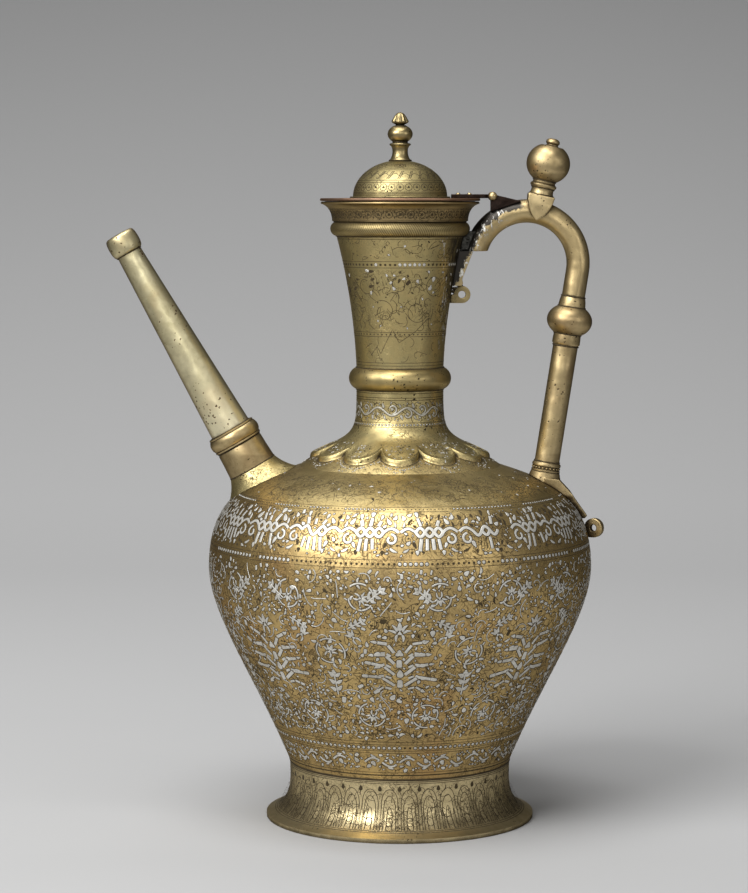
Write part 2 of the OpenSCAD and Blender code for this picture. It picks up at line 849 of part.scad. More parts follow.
slot_share = 0.96;
saddle_z = outer_arch + saddle_top;
saddle_h = saddle_top + 2 * bar_r - nub_r;
module shield() {
  side_r = saddle_h * 1.25;
  intersection() {
    translate([side_r - saddle_w / 2, 0])
      circle(r = side_r);
    translate([saddle_w / 2 - side_r, 0])
      circle(r = side_r);
    translate([-saddle_w / 2, -saddle_h])
      square([saddle_w, saddle_h]);
  }
}

module thumb_saddle() {
  half = bar_r + cheek_t;
  color(pale_brass)
    difference() {
      on_arch(saddle_z)
        translate([0, half, 0])
          rotate([90, 0, 0])
            linear_extrude(height = 2 * half)
              shield();
      arch_block();
      translate([arch_x, 0, arch_z])
        rotate([90, 0, 0])
          cylinder(r = arch_r, h = 2 * bar_r * slot_share, center = true);
    }
}

module thumb_stem() {
  color(pale_brass)
    on_arch(saddle_z)
      rotate_extrude()
        polygon([
          [0, 0], [stem_r + wall / 3, 0], [stem_r, stem_h / 5], [stem_r, stem_h * 0.45],
          [stem_ring_r, stem_h * 0.58], [stem_ring_r, stem_h * 0.72],
          [stem_r, stem_h * 0.8], [stem_r, stem_h], [0, stem_h]
        ]);
}

module thumb_ball() {
  color(pale_brass)
    on_arch(saddle_z + stem_h)
      squat_ball(ball_r, ball_h, stem_r);
}

module thumb_button() {
  color(pale_brass)
    on_arch(saddle_z + stem_h + ball_h)
      rotate_extrude()
        polygon([
          [0, 0], [button_r * 0.86, 0], [button_r * 0.82, button_h / 4],
          [button_r, button_h * 0.45], [button_r * 0.85, button_h * 0.75],
          [button_r * 0.45, button_h * 0.97], [0, button_h]
        ]);
}

// Spout, on a line that leaves the shoulder towards -X
spout_z = shoulder_level(spout_foot_r);
module along_spout(d) {
  translate([-spout_foot_r, 0, spout_z])
    rotate([0, -spout_lean, 0])
      translate([0, 0, d])
        children();
}

bore_low_r = spout_low_r - spout_wall;
bore_top_r = spout_top_r - spout_wall;
level_socket = flange_h;
level_spout_ring = level_socket + socket_h;
level_tube = level_spout_ring + spout_ring_h;
level_mouthpiece = level_tube + spout_h;

module spout_flange() {
  start_a = 20;
  end_a = 70;
  steps = 10;
  function flare(a) = [
    socket_r + flange_curve_r * (cos(start_a) - cos(a)),
    flange_h - flange_curve_r * (sin(a) - sin(start_a))
  ];
  line = [for (i = [0:steps]) flare(start_a + (end_a - start_a) * i / steps)];
  color(brass)
    difference() {
      along_spout(0)
        rotate_extrude()
          polygon(concat(
            [[bore_low_r, flange_h]], line, [[bore_low_r, line[steps][1]]]
          ));
      body_block();
    }
}

module spout_socket() {
  color(pale_brass)
    along_spout(level_socket)
      difference() {
        cylinder(r1 = socket_r, r2 = socket_r * 0.95, h = socket_h);
        translate([0, 0, -over])
          cylinder(r = bore_low_r, h = socket_h + 2 * over);
      }
}

module spout_ring() {
  fillet_h = spout_ring_h / 8;
  color(pale_brass)
    along_spout(level_spout_ring)
      difference() {
        union() {
          cylinder(r = spout_ring_r * 0.95, h = fillet_h);
          translate([0, 0, spout_ring_h - fillet_h])
            cylinder(r = spout_ring_r * 0.93, h = fillet_h);
          translate([0, 0, spout_ring_h / 2])
            moulding(bore_low_r, spout_ring_r, spout_ring_h - 2 * fillet_h, fillet_h);
        }
        translate([0, 0, -over])
          cylinder(r = bore_low_r, h = spout_ring_h + 2 * over);
      }
}

module spout_tube() {
  color(pale_brass)
    along_spout(level_tube)
      difference() {
        cylinder(r1 = spout_low_r, r2 = spout_top_r, h = spout_h);
        cylinder(r1 = bore_low_r, r2 = bore_top_r, h = spout_h);
      }
}

module spout_mouthpiece() {
  color(pale_brass)
    along_spout(level_mouthpiece)
      difference() {
        rotate_extrude()
          polygon([
            [0, 0], [spout_top_r, 0], [mouthpiece_r * 0.94, mouthpiece_h * 0.12],
            [mouthpiece_r, mouthpiece_h * 0.4], [mouthpiece_r * 0.98, mouthpiece_h * 0.72],
            [mouthpiece_r * 0.86, mouthpiece_h], [0, mouthpiece_h]
          ]);
        translate([0, 0, -over])
          cylinder(r = pour_r, h = mouthpiece_h + 2 * over);
      }
}

vessel_body();
base_plate();
foot_ring();
neck_collar();
neck_ring();
neck_tube();
mouth_ring();
mouth_rim();
lid_plate();
lid_dome();
finial_pedestal();
finial_ball();
finial_bud();
lid_strap();
strap_rivets();
hinge_pin();
hinge_bracket();
handle_arch();
upper_terminal();
upper_lug();
upper_solder();
upper_collar();
handle_knop();
lower_collar();
handle_shaft();
beaded_ring();
lower_terminal();
lower_lug();
thumb_saddle();
thumb_stem();
thumb_ball();
thumb_button();
spout_flange();
spout_socket();
spout_ring();
spout_tube();
spout_mouthpiece();
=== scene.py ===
import random
from math import acos, asin, atan, atan2, cos, degrees, exp, hypot, pi, radians, sin, sqrt

import bpy
from mathutils import Matrix, Vector


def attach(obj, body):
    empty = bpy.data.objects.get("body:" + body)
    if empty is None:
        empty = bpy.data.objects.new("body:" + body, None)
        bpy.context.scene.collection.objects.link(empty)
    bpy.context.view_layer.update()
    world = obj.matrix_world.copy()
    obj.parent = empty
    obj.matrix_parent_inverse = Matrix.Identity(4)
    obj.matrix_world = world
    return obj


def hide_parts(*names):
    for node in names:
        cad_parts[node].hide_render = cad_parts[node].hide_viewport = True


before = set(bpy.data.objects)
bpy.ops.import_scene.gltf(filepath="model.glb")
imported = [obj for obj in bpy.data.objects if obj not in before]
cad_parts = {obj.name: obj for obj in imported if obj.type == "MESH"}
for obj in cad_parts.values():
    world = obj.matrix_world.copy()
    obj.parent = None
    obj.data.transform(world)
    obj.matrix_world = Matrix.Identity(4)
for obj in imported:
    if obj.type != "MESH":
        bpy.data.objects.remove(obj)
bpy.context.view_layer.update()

MM = 0.001
TURN = 2 * pi


# Workshop helpers

def clear_bench():
    """Leaves edit mode and deselects everything."""
    active = bpy.context.view_layer.objects.active
    if active and active.mode != "OBJECT":
        bpy.ops.object.mode_set(mode="OBJECT")
    bpy.ops.object.select_all(action="DESELECT")


def take(piece):
    clear_bench()
    piece.select_set(True)
    bpy.context.view_layer.objects.active = piece
    return piece


def open_up(piece):
    """Takes a piece into edit mode with all of it selected."""
    take(piece)
    bpy.ops.object.mode_set(mode="EDIT")
    bpy.ops.mesh.select_all(action="SELECT")


def new_start(name):
    """Names the primitive that was just added."""
    piece = bpy.context.object
    piece.name = name
    piece.data.name = name
    return piece


def apply_modifier(piece, kind, **settings):
    take(piece)
    modifier = piece.modifiers.new(kind.lower(), kind)
    for name, value in settings.items():
        setattr(modifier, name, value)
    bpy.ops.object.modifier_apply(modifier=modifier.name)


def lump(piece, name, scale, strength, level):
    """Dents and swells a piece a little, as by casting or dirt."""
    clouds = bpy.data.textures.new(name + "_lumps", "CLOUDS")
    clouds.noise_scale = scale
    apply_modifier(
        piece, "DISPLACE", texture=clouds, strength=strength * MM, mid_level=level, texture_coords="LOCAL",
    )


def close_seams(piece, recalculate=True):
    open_up(piece)
    bpy.ops.mesh.remove_doubles(threshold=0.000002)
    if recalculate:
        bpy.ops.mesh.normals_make_consistent(inside=False)
    bpy.ops.object.mode_set(mode="OBJECT")


def round_shading(piece, angle=38):
    take(piece)
    bpy.ops.object.shade_smooth_by_angle(angle=radians(angle))


def joined(parts, name):
    clear_bench()
    for part in parts:
        part.select_set(True)
    bpy.context.view_layer.objects.active = parts[0]
    bpy.ops.object.join()
    piece = bpy.context.object
    piece.name = name
    return piece


def in_metres(place):
    """A place given in millimetres, as Blender needs it."""
    return Matrix.Translation(place.translation * MM) @ place.to_3x3().to_4x4()


def set_down(piece, place):
    """Moves a piece to its place and leaves the place in its mesh."""
    piece.matrix_world = in_metres(place)
    take(piece)
    bpy.ops.object.transform_apply(location=True, rotation=True)


def finish_piece(piece, body, finish, nodes=()):
    piece.data.materials.clear()
    piece.data.materials.append(finish)
    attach(piece, body)
    if nodes:
        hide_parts(*nodes)
    return piece


def skin(name, across, along, place):
    """A grid whose points are laid on a surface by place(column, row)."""
    clear_bench()
    bpy.ops.mesh.primitive_grid_add(x_subdivisions=across, y_subdivisions=along, size=2)
    piece = new_start(name)
    for point in piece.data.vertices:
        column = round((point.co.x + 1) / 2 * across)
        row = round((point.co.y + 1) / 2 * along)
        point.co = Vector(place(column, row)) * MM
    return piece


def turned(name, outline, segments, place=None, ripple=None, angle=38):
    """Extrudes one point along an outline of (radius, height), then spins it about the upright axis."""
    clear_bench()
    start = Vector((0, -outline[0][0], outline[0][1])) * MM
    bpy.ops.mesh.primitive_plane_add(size=MM, location=start)
    piece = new_start(name)
    bpy.ops.object.transform_apply(location=True)
    bpy.ops.object.mode_set(mode="EDIT")
    bpy.ops.mesh.merge(type="CENTER")
    for here, there in zip(outline, outline[1:]):
        step = Vector((0, here[0] - there[0], there[1] - here[1])) * MM
        bpy.ops.mesh.extrude_region_move(TRANSFORM_OT_translate={"value": step})
    bpy.ops.mesh.select_all(action="SELECT")
    bpy.ops.mesh.spin(steps=segments, angle=TURN, center=(0, 0, 0), axis=(0, 0, 1))
    bpy.ops.object.mode_set(mode="OBJECT")
    if ripple:
        for point in piece.data.vertices:
            share = ripple(point.co.z / MM, atan2(point.co.x, -point.co.y))
            point.co.x, point.co.y = point.co.x * share, point.co.y * share
    if place:
        set_down(piece, place)
    close_seams(piece)
    round_shading(piece, angle)
    return piece


def turned_piece(node, outline, finish, segments, place=None, slot="cast_brass", body="ewer",
                 ending="_turned", **shape):
    """Turns a piece and puts it in the place of its solid."""
    piece = turned(node + ending, outline, segments, place, **shape)
    return finish_piece(piece, body, finish, [node])


# Outlines

def closed(outline):
    return outline + [outline[0]]


def capped(line):
    """A line of (radius, height), carried in to the axis at both ends."""
    return [(0, line[0][1])] + line + [(0, line[-1][1])]


def bored(bore, line):
    """A line of (radius, height), closed along a straight bore."""
    return closed([(bore, line[0][1])] + line + [(bore, line[-1][1])])


def cubic_line(first, second, start, end, steps):
    """A curve whose two handles are shares of the box between its ends."""
    a, b, c, d = [
        tuple(start[i] + (end[i] - start[i]) * share[i] for i in (0, 1))
        for share in ((0, 0), first, second, (1, 1))
    ]
    line = []
    for step in range(steps + 1):
        t = step / steps
        k = 1 - t
        line.append(tuple(
            k ** 3 * a[i] + 3 * k * k * t * b[i] + 3 * k * t * t * c[i] + t ** 3 * d[i] for i in (0, 1)
        ))
    return line


def bend(a, b, c, steps):
    line = []
    for i in range(steps + 1):
        t = i / steps
        line.append(tuple((1 - t) ** 2 * a[k] + 2 * (1 - t) * t * b[k] + t * t * c[k] for k in (0, 1)))
    return line


def arc(centre, radius, start, end, steps):
    return [
        (centre[0] + radius * cos(radians(start + (end - start) * i / steps)),
         centre[1] + radius * sin(radians(start + (end - start) * i / steps)))
        for i in range(steps + 1)
    ]


def dome_line(radius, rise, steps):
    return [
        (radius * cos(radians(90 * i / steps)), DOME_Z + rise * sin(radians(90 * i / steps)))
        for i in range(steps + 1)
    ]


def ball_line(radius, height, end, z, steps=28):
    """A ball cut off at both ends, where its radius is end."""
    lift = degrees(acos(end / radius))
    return [
        (radius * cos(radians(a)), z + height / 2 + height / 2 * sin(radians(a)) / sin(radians(lift)))
        for a in [-lift + 2 * lift * i / steps for i in range(steps + 1)]
    ]


def swell(edge, radius, z, height):
    """The rounded outside of a moulding."""
    rise = radius - edge
    big = (height * height / 4 + rise * rise) / (2 * rise)
    half = degrees(asin(height / 2 / big))
    return arc((radius - big, z), big, -half, half, 20)


def directions(line):
    """The way a line runs at each of its points."""
    last = len(line) - 1
    for i in range(last + 1):
        before, after = line[max(i - 1, 0)], line[min(i + 1, last)]
        yield Vector((after[0] - before[0], after[1] - before[1])).normalized()


def inward(line, wall):
    return [
        (point[0] - along[1] * wall, point[1] + along[0] * wall)
        for point, along in zip(line, directions(line))
    ]


class Wall:
    """An outline measured along its length, so that ornament can be laid on the turned surface."""

    def __init__(self, outline):
        self.rows = []
        self.length = 0
        before = outline[0]
        for point, along in zip(outline, directions(outline)):
            self.length += hypot(point[0] - before[0], point[1] - before[1])
            self.rows.append((self.length, point[0], point[1], along[1], -along[0]))
            before = point

    def at(self, s):
        """Radius, height and the two shares of the outward direction at a length s."""
        rows = self.rows
        s = min(max(s, 0), self.length)
        low, high = 0, len(rows) - 1
        while high - low > 1:
            middle = (low + high) // 2
            if rows[middle][0] <= s:
                low = middle
            else:
                high = middle
        share = (s - rows[low][0]) / max(rows[high][0] - rows[low][0], 1e-9)
        return [rows[low][k] + (rows[high][k] - rows[low][k]) * share for k in range(1, 5)]

    def point(self, turn, s, lift):
        r, z, out, up = self.at(s)
        r += out * lift
        return (r * sin(turn), -r * cos(turn), z + up * lift)

    def radius(self, s):
        return self.at(s)[0]

    def level(self, height):
        """The length along the outline at which it reaches a height."""
        low, high = 0.0, self.length
        for _ in range(40):
            middle = (low + high) / 2
            if self.at(middle)[1] < height:
                low = middle
            else:
                high = middle
        return (low + high) / 2


# Sizes taken from the solids, in millimetres

WALL = 1.5
WAIST = (59.6, 31)
BELLY = (103.1, 137)
SHOULDER = (50.75, 192.3)
THROAT = (21.9, 225.2)
NECK_R = 23.4
NECK_TOP_R = 34
NECK_RING_Z = 238
MOUTH_RING_Z = 318
RIM_Z = 322
LIP_Z = 332.4
PLATE_Z = 332.7
PLATE_TOP = PLATE_Z + 1.5
DOME_Z = 335.1
DOME_R = 25.2
DOME_RISE = 19.3
SPOUT_BORE = 9.85
THROAT_BEND = (0.37, 0.12), (1, 0.17)
RIM_BEND = (0, 0.45), (0.3, 0.88)


def leaning(x, z, lean):
    return Matrix.Translation(Vector((x, 0, z))) @ Matrix.Rotation(radians(lean), 4, "Y")


SHAFT = leaning(77.6, 182.107, 8.739)
KNOB = leaning(67.534, 299.6, 12.3)
SPOUT = leaning(-75.8, 182.986, -29.65)
UPRIGHT = Matrix.Identity(4)

flank = cubic_line((0.44, 0.44), (1, 0.76), WAIST, BELLY, 44)
shoulder = cubic_line((0, 0.76), (0.54, 0.84), BELLY, SHOULDER, 44)
throat = cubic_line(*THROAT_BEND, SHOULDER, THROAT, 16)
body_outline = flank + shoulder[1:]
foot_flare = cubic_line((0, 0.64), (0.31, 0.84), (59.39, 23.56), (72.4, 2.4), 28)
trumpet = cubic_line((0.8, 0.34), (1, 0.32), (46.7, 198.06), (NECK_R, THROAT[1]), 30)
neck_outline = bend((NECK_R, 243.9), (24.88, 278.95), (NECK_TOP_R, 314), 36)
rim_outline = cubic_line(*RIM_BEND, (36.4, RIM_Z), (42.3, 331.2), 20)
dome_outline = dome_line(DOME_R, DOME_RISE, 36)

body_wall = Wall(body_outline)
foot_wall = Wall(foot_flare[::-1] + [(59.5, 27), WAIST])
collar_wall = Wall(trumpet + [(NECK_R, 232.4)])
neck_wall = Wall(neck_outline)
rim_wall = Wall(rim_outline)
dome_wall = Wall(dome_outline[:33])


# Finishes

def shader_group(name, inputs, outputs):
    group = bpy.data.node_groups.new(name, "ShaderNodeTree")
    for label, value in inputs.items():
        kind = "NodeSocketVector" if value is None else "NodeSocketFloat"
        socket = group.interface.new_socket(label, in_out="INPUT", socket_type=kind)
        if value is not None:
            socket.default_value = value
    for label in outputs:
        group.interface.new_socket(label, in_out="OUTPUT", socket_type="NodeSocketFloat")
    return group


class Board:
    """Short ways to put nodes in a tree and join them."""

    def __init__(self, tree):
        self.tree = tree

    def node(self, kind, settings=None, **inputs):
        made = self.tree.nodes.new(kind)
        for name, value in (settings or {}).items():
            setattr(made, name, value)
        for name, value in inputs.items():
            self.feed(made.inputs[name.replace("_", " ")], value)
        return made

    def feed(self, socket, value):
        if isinstance(value, bpy.types.NodeSocket):
            self.tree.links.new(value, socket)
        else:
            socket.default_value = value

    def math(self, operation, *values, clamp=False, kind="ShaderNodeMath"):
        made = self.node(kind, {"operation": operation})
        if clamp:
            made.use_clamp = True
        for socket, value in zip(made.inputs, values):
            self.feed(socket, value)
        return made.outputs[0]

    def times(self, *values, clamp=False):
        """The product of all the values."""
        made = values[0]
        for value in values[1:]:
            made = self.math("MULTIPLY", made, value, clamp=clamp)
        return made

    def plus(self, a, b):
        return self.math("ADD", a, b)

    def minus(self, a, b, clamp=False):
        return self.math("SUBTRACT", a, b, clamp=clamp)

    def grown(self, value, share, start, clamp=False):
        """A value times a share, added to a start."""
        return self.math("MULTIPLY_ADD", value, share, start, clamp=clamp)

    def more(self, a, b):
        return self.math("MAXIMUM", a, b)

    def stretched(self, vector, share):
        """Object coordinates drawn out along the upright axis."""
        return self.math("MULTIPLY", vector, (1.0, 1.0, share), kind="ShaderNodeVectorMath")

    def axes(self, vector):
        return self.node("ShaderNodeSeparateXYZ", Vector=vector).outputs

    def noise(self, vector, scale, detail=2.0, roughness=0.5, distortion=0.0):
        made = self.node(
            "ShaderNodeTexNoise",
            Vector=vector, Scale=scale, Detail=detail, Roughness=roughness, Distortion=distortion,
        )
        return made.outputs["Fac"]

    def ramp(self, value, low, high):
        made = self.node("ShaderNodeMapRange", {"clamp": True}, Value=value, From_Min=low, From_Max=high)
        return made.outputs[0]

    def band(self, height, low, high, soft):
        """One between two heights, with soft edges."""
        return self.times(self.ramp(height, low, low + soft), self.ramp(height, high, high - soft))

    def mix(self, share, a, b):
        made = self.node("ShaderNodeMix", {"data_type": "RGBA"})
        sockets = [socket for socket in made.inputs if socket.type == "RGBA"]
        self.feed(made.inputs[0], share)
        self.feed(sockets[0], a)
        self.feed(sockets[1], b)
        return [socket for socket in made.outputs if socket.type == "RGBA"][0]

    def group(self, tree, **inputs):
        return self.node("ShaderNodeGroup", {"node_tree": tree}, **inputs).outputs


def rgb(r, g, b):
    return (r, g, b, 1.0)


def make_patina_group():
    """Uneven tarnish, dark pits and fine wear of old metal."""
    group = shader_group(
        "old_metal", {"Vector": None, "Cloud Scale": 28.0, "Pit Scale": 420.0, "Pit Share": 0.2},
        ["Tarnish", "Pits", "Grain"],
    )
    board = Board(group)
    entry = group.nodes.new("NodeGroupInput").outputs
    leave = group.nodes.new("NodeGroupOutput").inputs
    vector, cloud_scale, pit_scale = entry["Vector"], entry["Cloud Scale"], entry["Pit Scale"]
    cloud = board.noise(vector, cloud_scale, 5.0, 0.62, 0.4)
    fine = board.noise(vector, 900.0, 3.0, 0.6)
    patches = board.noise(vector, board.times(cloud_scale, 4.5), 3.0, 0.6, 0.6)
    tarnish = board.grown(patches, 0.45, board.times(cloud, 0.7))
    board.feed(leave["Tarnish"], board.ramp(tarnish, 0.42, 0.78))
    jitter = board.noise(vector, board.times(pit_scale, 2.2), 2.0)
    drift = (0.0022, 0.0022, 0.0022)
    shifted = board.math("MULTIPLY_ADD", jitter, drift, vector, kind="ShaderNodeVectorMath")
    cells = board.node("ShaderNodeTexVoronoi", Vector=shifted, Scale=pit_scale)
    gate = board.noise(vector, board.times(pit_scale, 0.13), 2.0, 0.6)
    reach = board.times(board.ramp(gate, 0.40, 0.66), entry["Pit Share"])
    pits = board.minus(reach, cells.outputs["Distance"])
    board.feed(leave["Pits"], board.times(pits, 12.0, clamp=True))
    board.feed(leave["Grain"], fine)
    return group


def make_scroll_group():
    """Fine engraved lines that curl like scrollwork."""
    group = shader_group("engraved_scroll", {"Vector": None, "Scale": 150.0, "Line": 0.02}, ["Mask"])
    board = Board(group)
    entry = group.nodes.new("NodeGroupInput").outputs
    leave = group.nodes.new("NodeGroupOutput").inputs
    masks = []
    for share, twist in ((1.0, 1.2), (1.7, 0.9)):
        curl = board.noise(entry["Vector"], board.times(entry["Scale"], share), 1.0, 0.4, twist)
        offset = board.math("ABSOLUTE", board.minus(curl, 0.5))
        masks.append(board.minus(1.0, board.math("DIVIDE", offset, entry["Line"]), clamp=True))
    board.feed(leave["Mask"], board.more(*masks))
    return group


patina_group = make_patina_group()
scroll_group = make_scroll_group()


def solder_on_arch(board, vector, x, z, rough):
    """Solder on the outer skin of the arch, short of the saddle."""
    across = board.minus(x, 0.0675)
    up = board.minus(z, 0.2996)
    reach = board.math("SQRT", board.plus(board.times(across, across), board.times(up, up)))
    outer = board.plus(reach, rough)
    ragged = board.plus(rough, across)
    cover = board.times(board.ramp(outer, 0.0284, 0.0292), board.ramp(ragged, 0.000, -0.004))
    left = board.ramp(ragged, -0.0080, -0.0120)
    return cover, board.plus(outer, board.grown(left, -0.02, 0.02)), 0.0284


def solder_on_terminal(board, vector, x, z, rough):
    line = board.grown(z, -0.42, board.plus(x, rough))
    return board.ramp(line, -0.0906, -0.0914), line, -0.0906


def solder_on_neck(board, vector, x, z, rough):
    """Solder that ran down the neck in streaks beside the handle."""
    wave = board.noise(board.stretched(vector, 0.12), 420.0, 3.0, 0.6)
    side = board.plus(x, board.grown(wave, 0.012, -0.006))
    band = board.times(board.ramp(z, 0.272, 0.286), board.ramp(z, 0.3145, 0.3125))
    cover = board.times(board.ramp(side, 0.0235, 0.0275), board.ramp(wave, 0.74, 0.46))
    return board.times(cover, band), side, 0.0235


def smear_solder(board, vector, colour, solder, reach):
    """Dark solder over the metal, with bright scraped glints along its edge."""
    place = board.axes(vector)
    rough = board.grown(board.noise(vector, 330.0, 4.0, 0.65, 0.5), 0.007, -0.0035)
    cover, level, edge = solder(board, vector, place["X"], place["Z"], rough)
    glints = board.ramp(board.noise(board.stretched(vector, 0.35), 620.0, 2.0, 0.6, 0.8), 0.53, 0.60)
    near = board.ramp(board.math("ABSOLUTE", board.minus(level, edge)), reach, 0.0008)
    glints = board.times(glints, near)
    lead = board.mix(glints, rgb(0.055, 0.050, 0.044), rgb(0.86, 0.85, 0.80))
    return board.mix(board.more(cover, glints), colour, lead)


def metal_finish(name, clean, worn, dark, roughness, cloud=28.0, pits=0.2, pit_scale=420.0, dents=0.25,
                 scrolls=(), hatch=None, metallic=1.0, smear=None, dirt_and_corner_shade=0.0, stain=None, edge=0.5, bands=(),
                 upper=None):
    """Old metal in three shades, from clean to the bottom of its marks.

    scrolls holds engraved bands as (low, high, strength, scale, line), bands holds dark ones of dirt and
    painted shade as (low, high, strength), hatch is (count, lean, strength), upper is (low, high, tint), a
    real tarnish on the body and a painted highlight on the spout, and smear is where solder lies with the
    reach of its glints.
    grime paints shade in corners by occlusion, with dirt in the joints, and edge paints shade where the
    surface turns away from view.
    """
    finish = bpy.data.materials.new(name)
    finish.use_nodes = True
    board = Board(finish.node_tree)
    shader = finish.node_tree.nodes["Principled BSDF"].inputs
    shader["Metallic"].default_value = metallic
    shader["Specular Tint"].default_value = rgb(0.62, 0.56, 0.46)
    vector = board.node("ShaderNodeTexCoord").outputs["Object"]
    old = board.group(patina_group, Vector=vector, Cloud_Scale=cloud, Pit_Scale=pit_scale, Pit_Share=pits)
    tarnish, marks, grain = old["Tarnish"], old["Pits"], old["Grain"]
    colour = board.mix(tarnish, rgb(*clean), rgb(*worn))
    if stain:
        spread = board.ramp(board.noise(vector, 22.0, 4.0, 0.6, 0.5), 0.52, 0.68)
        colour = board.mix(board.times(spread, 0.55), colour, rgb(*stain))
    place = board.axes(vector)
    height = place["Z"]
    # A tint between two heights: real tarnish on the body, a painted highlight low on the spout.
    if upper:
        low, high, tint = upper
        colour = board.mix(board.times(board.ramp(height, low, high), 0.7), colour, rgb(*tint))
    # Dark bands between heights: real dirt, and painted shade where a band lies under an overhang.
    for low, high, strength in bands:
        uneven = board.grown(board.noise(vector, 140.0, 3.0, 0.6), 0.8, 0.5)
        marks = board.more(marks, board.times(board.band(height, low, high, 0.0012), uneven, strength))
    for low, high, strength, scale, line in scrolls:
        lines = board.group(scroll_group, Vector=vector, Scale=scale, Line=line)["Mask"]
        patches = board.ramp(board.noise(vector, 60.0, 2.0), 0.30, 0.55)
        lines = board.times(lines, patches, strength)
        marks = board.more(marks, board.times(lines, board.band(height, low, high, 0.001)))
    if hatch:
        count, lean, strength = hatch
        turn = board.math("ARCTAN2", place["Y"], place["X"])
        phase = board.grown(height, lean, board.times(turn, count))
        wave = board.grown(board.math("SINE", phase), 0.5, 0.5)
        marks = board.more(marks, board.times(board.ramp(wave, 0.55, 0.95), strength))
    # Ambient occlusion darkens corners and the places between parts: painted shade, with some real dirt in
    # the joints.
    if dirt_and_corner_shade:
        corner_shade = board.node("ShaderNodeAmbientOcclusion", {"samples": 6}, Distance=0.007).outputs["AO"]
        corner_shade = board.grown(board.noise(vector, 260.0, 3.0, 0.6), 0.5, board.minus(corner_shade, 0.25))
        marks = board.more(marks, board.times(board.ramp(corner_shade, 0.86, 0.48), dirt_and_corner_shade))
    colour = board.mix(marks, colour, rgb(*dark))
    # Painted shade: the colour goes towards the dark shade where the surface turns away from view, as far as
    # edge says.
    grazing_shade = board.node("ShaderNodeLayerWeight", Blend=0.5).outputs["Facing"]
    colour = board.mix(board.times(board.ramp(grazing_shade, 0.40, 0.90), edge), colour, rgb(*dark))
    dull = board.grown(tarnish, 0.16, roughness)
    dull = board.grown(grain, 0.08, dull)
    dull = board.grown(marks, 0.3, dull, clamp=True)
    if smear:
        colour = smear_solder(board, vector, colour, *smear)
    board.feed(shader["Base Color"], colour)
    board.feed(shader["Roughness"], dull)
    wide = board.noise(vector, 55.0, 2.0, 0.5)
    dent = board.node("ShaderNodeBump", Strength=dents, Distance=0.004, Height=wide).outputs["Normal"]
    small = board.grown(grain, 0.12, board.times(marks, -1.0))
    fine = board.node("ShaderNodeBump", Strength=0.35, Distance=0.0002, Height=small, Normal=dent)
    board.feed(shader["Normal"], fine.outputs["Normal"])
    return finish


body_brass = metal_finish(
    "body_brass", (0.68, 0.49, 0.205), (0.37, 0.27, 0.125), (0.060, 0.043, 0.024), 0.31, pits=0.24,
    scrolls=[(0.0, 0.1765, 0.80, 190.0, 0.038), (0.1765, 0.30, 0.70, 190.0, 0.038)], dirt_and_corner_shade=0.7, edge=0.6,
    upper=(0.1700, 0.1800, (0.57, 0.47, 0.23)), stain=(0.55, 0.33, 0.13),
)
neck_brass = metal_finish(
    "neck_brass", (0.60, 0.47, 0.21), (0.36, 0.31, 0.155), (0.050, 0.040, 0.024), 0.31, pits=0.3, edge=0.4,
    scrolls=[(0.263, 0.297, 0.7, 210.0, 0.035), (0.0, 0.2135, 0.75, 240.0, 0.035),
             (0.2135, 0.263, 0.4, 190.0, 0.02), (0.302, 0.40, 0.5, 240.0, 0.03)],
    smear=(solder_on_neck, 0.0013), dirt_and_corner_shade=0.8,
)
plain_brass = metal_finish(
    "ring_brass", (0.54, 0.41, 0.18), (0.33, 0.27, 0.13), (0.06, 0.05, 0.03), 0.32, pits=0.36, dirt_and_corner_shade=0.8,
)
rope_brass = metal_finish(
    "mouth_ring_brass", (0.47, 0.37, 0.17), (0.28, 0.22, 0.11), (0.06, 0.045, 0.025), 0.35,
    pits=0.14, hatch=(190.0, 2900.0, 0.6), dirt_and_corner_shade=0.8,
)
# The dark band at the top of the foot is painted shade under the body's flank, over real engraving.
foot_brass = metal_finish(
    "foot_brass", (0.80, 0.66, 0.38), (0.43, 0.35, 0.19), (0.055, 0.042, 0.026), 0.32,
    pits=0.24, scrolls=[(0.004, 0.0315, 0.75, 300.0, 0.045)], dirt_and_corner_shade=0.8, edge=0.6,
    bands=[(0.0290, 0.0330, 0.45)],
)
dome_brass = metal_finish(
    "dome_brass", (0.50, 0.41, 0.19), (0.29, 0.25, 0.13), (0.050, 0.040, 0.024), 0.32,
    pits=0.24, scrolls=[(0.0, 0.40, 0.6, 420.0, 0.04)], dirt_and_corner_shade=0.8,
)
rim_brass = metal_finish(
    "rim_brass", (0.40, 0.29, 0.13), (0.24, 0.18, 0.09), (0.045, 0.035, 0.022), 0.34,
    pits=0.24, scrolls=[(0.3225, 0.3293, 0.9, 420.0, 0.05)], dirt_and_corner_shade=0.8,
)
finial_brass = metal_finish(
    "finial_brass", (0.47, 0.37, 0.18), (0.25, 0.20, 0.10), (0.03, 0.025, 0.015), 0.27,
    cloud=60.0, pits=0.30, dents=0.3, dirt_and_corner_shade=1.0,
)
# Its dark bands are dirt at the foot of the handle shaft and, under the thumb ball, dirt with painted shade.
cast_brass = metal_finish(
    "cast_brass", (0.66, 0.52, 0.28), (0.37, 0.28, 0.14), (0.060, 0.040, 0.022), 0.31,
    cloud=44.0, pits=0.29, pit_scale=440.0, dents=0.40, dirt_and_corner_shade=1.0, stain=(0.28, 0.17, 0.08), edge=0.85,
    bands=[(0.1760, 0.1980, 0.36), (0.3400, 0.3480, 0.42)],
)
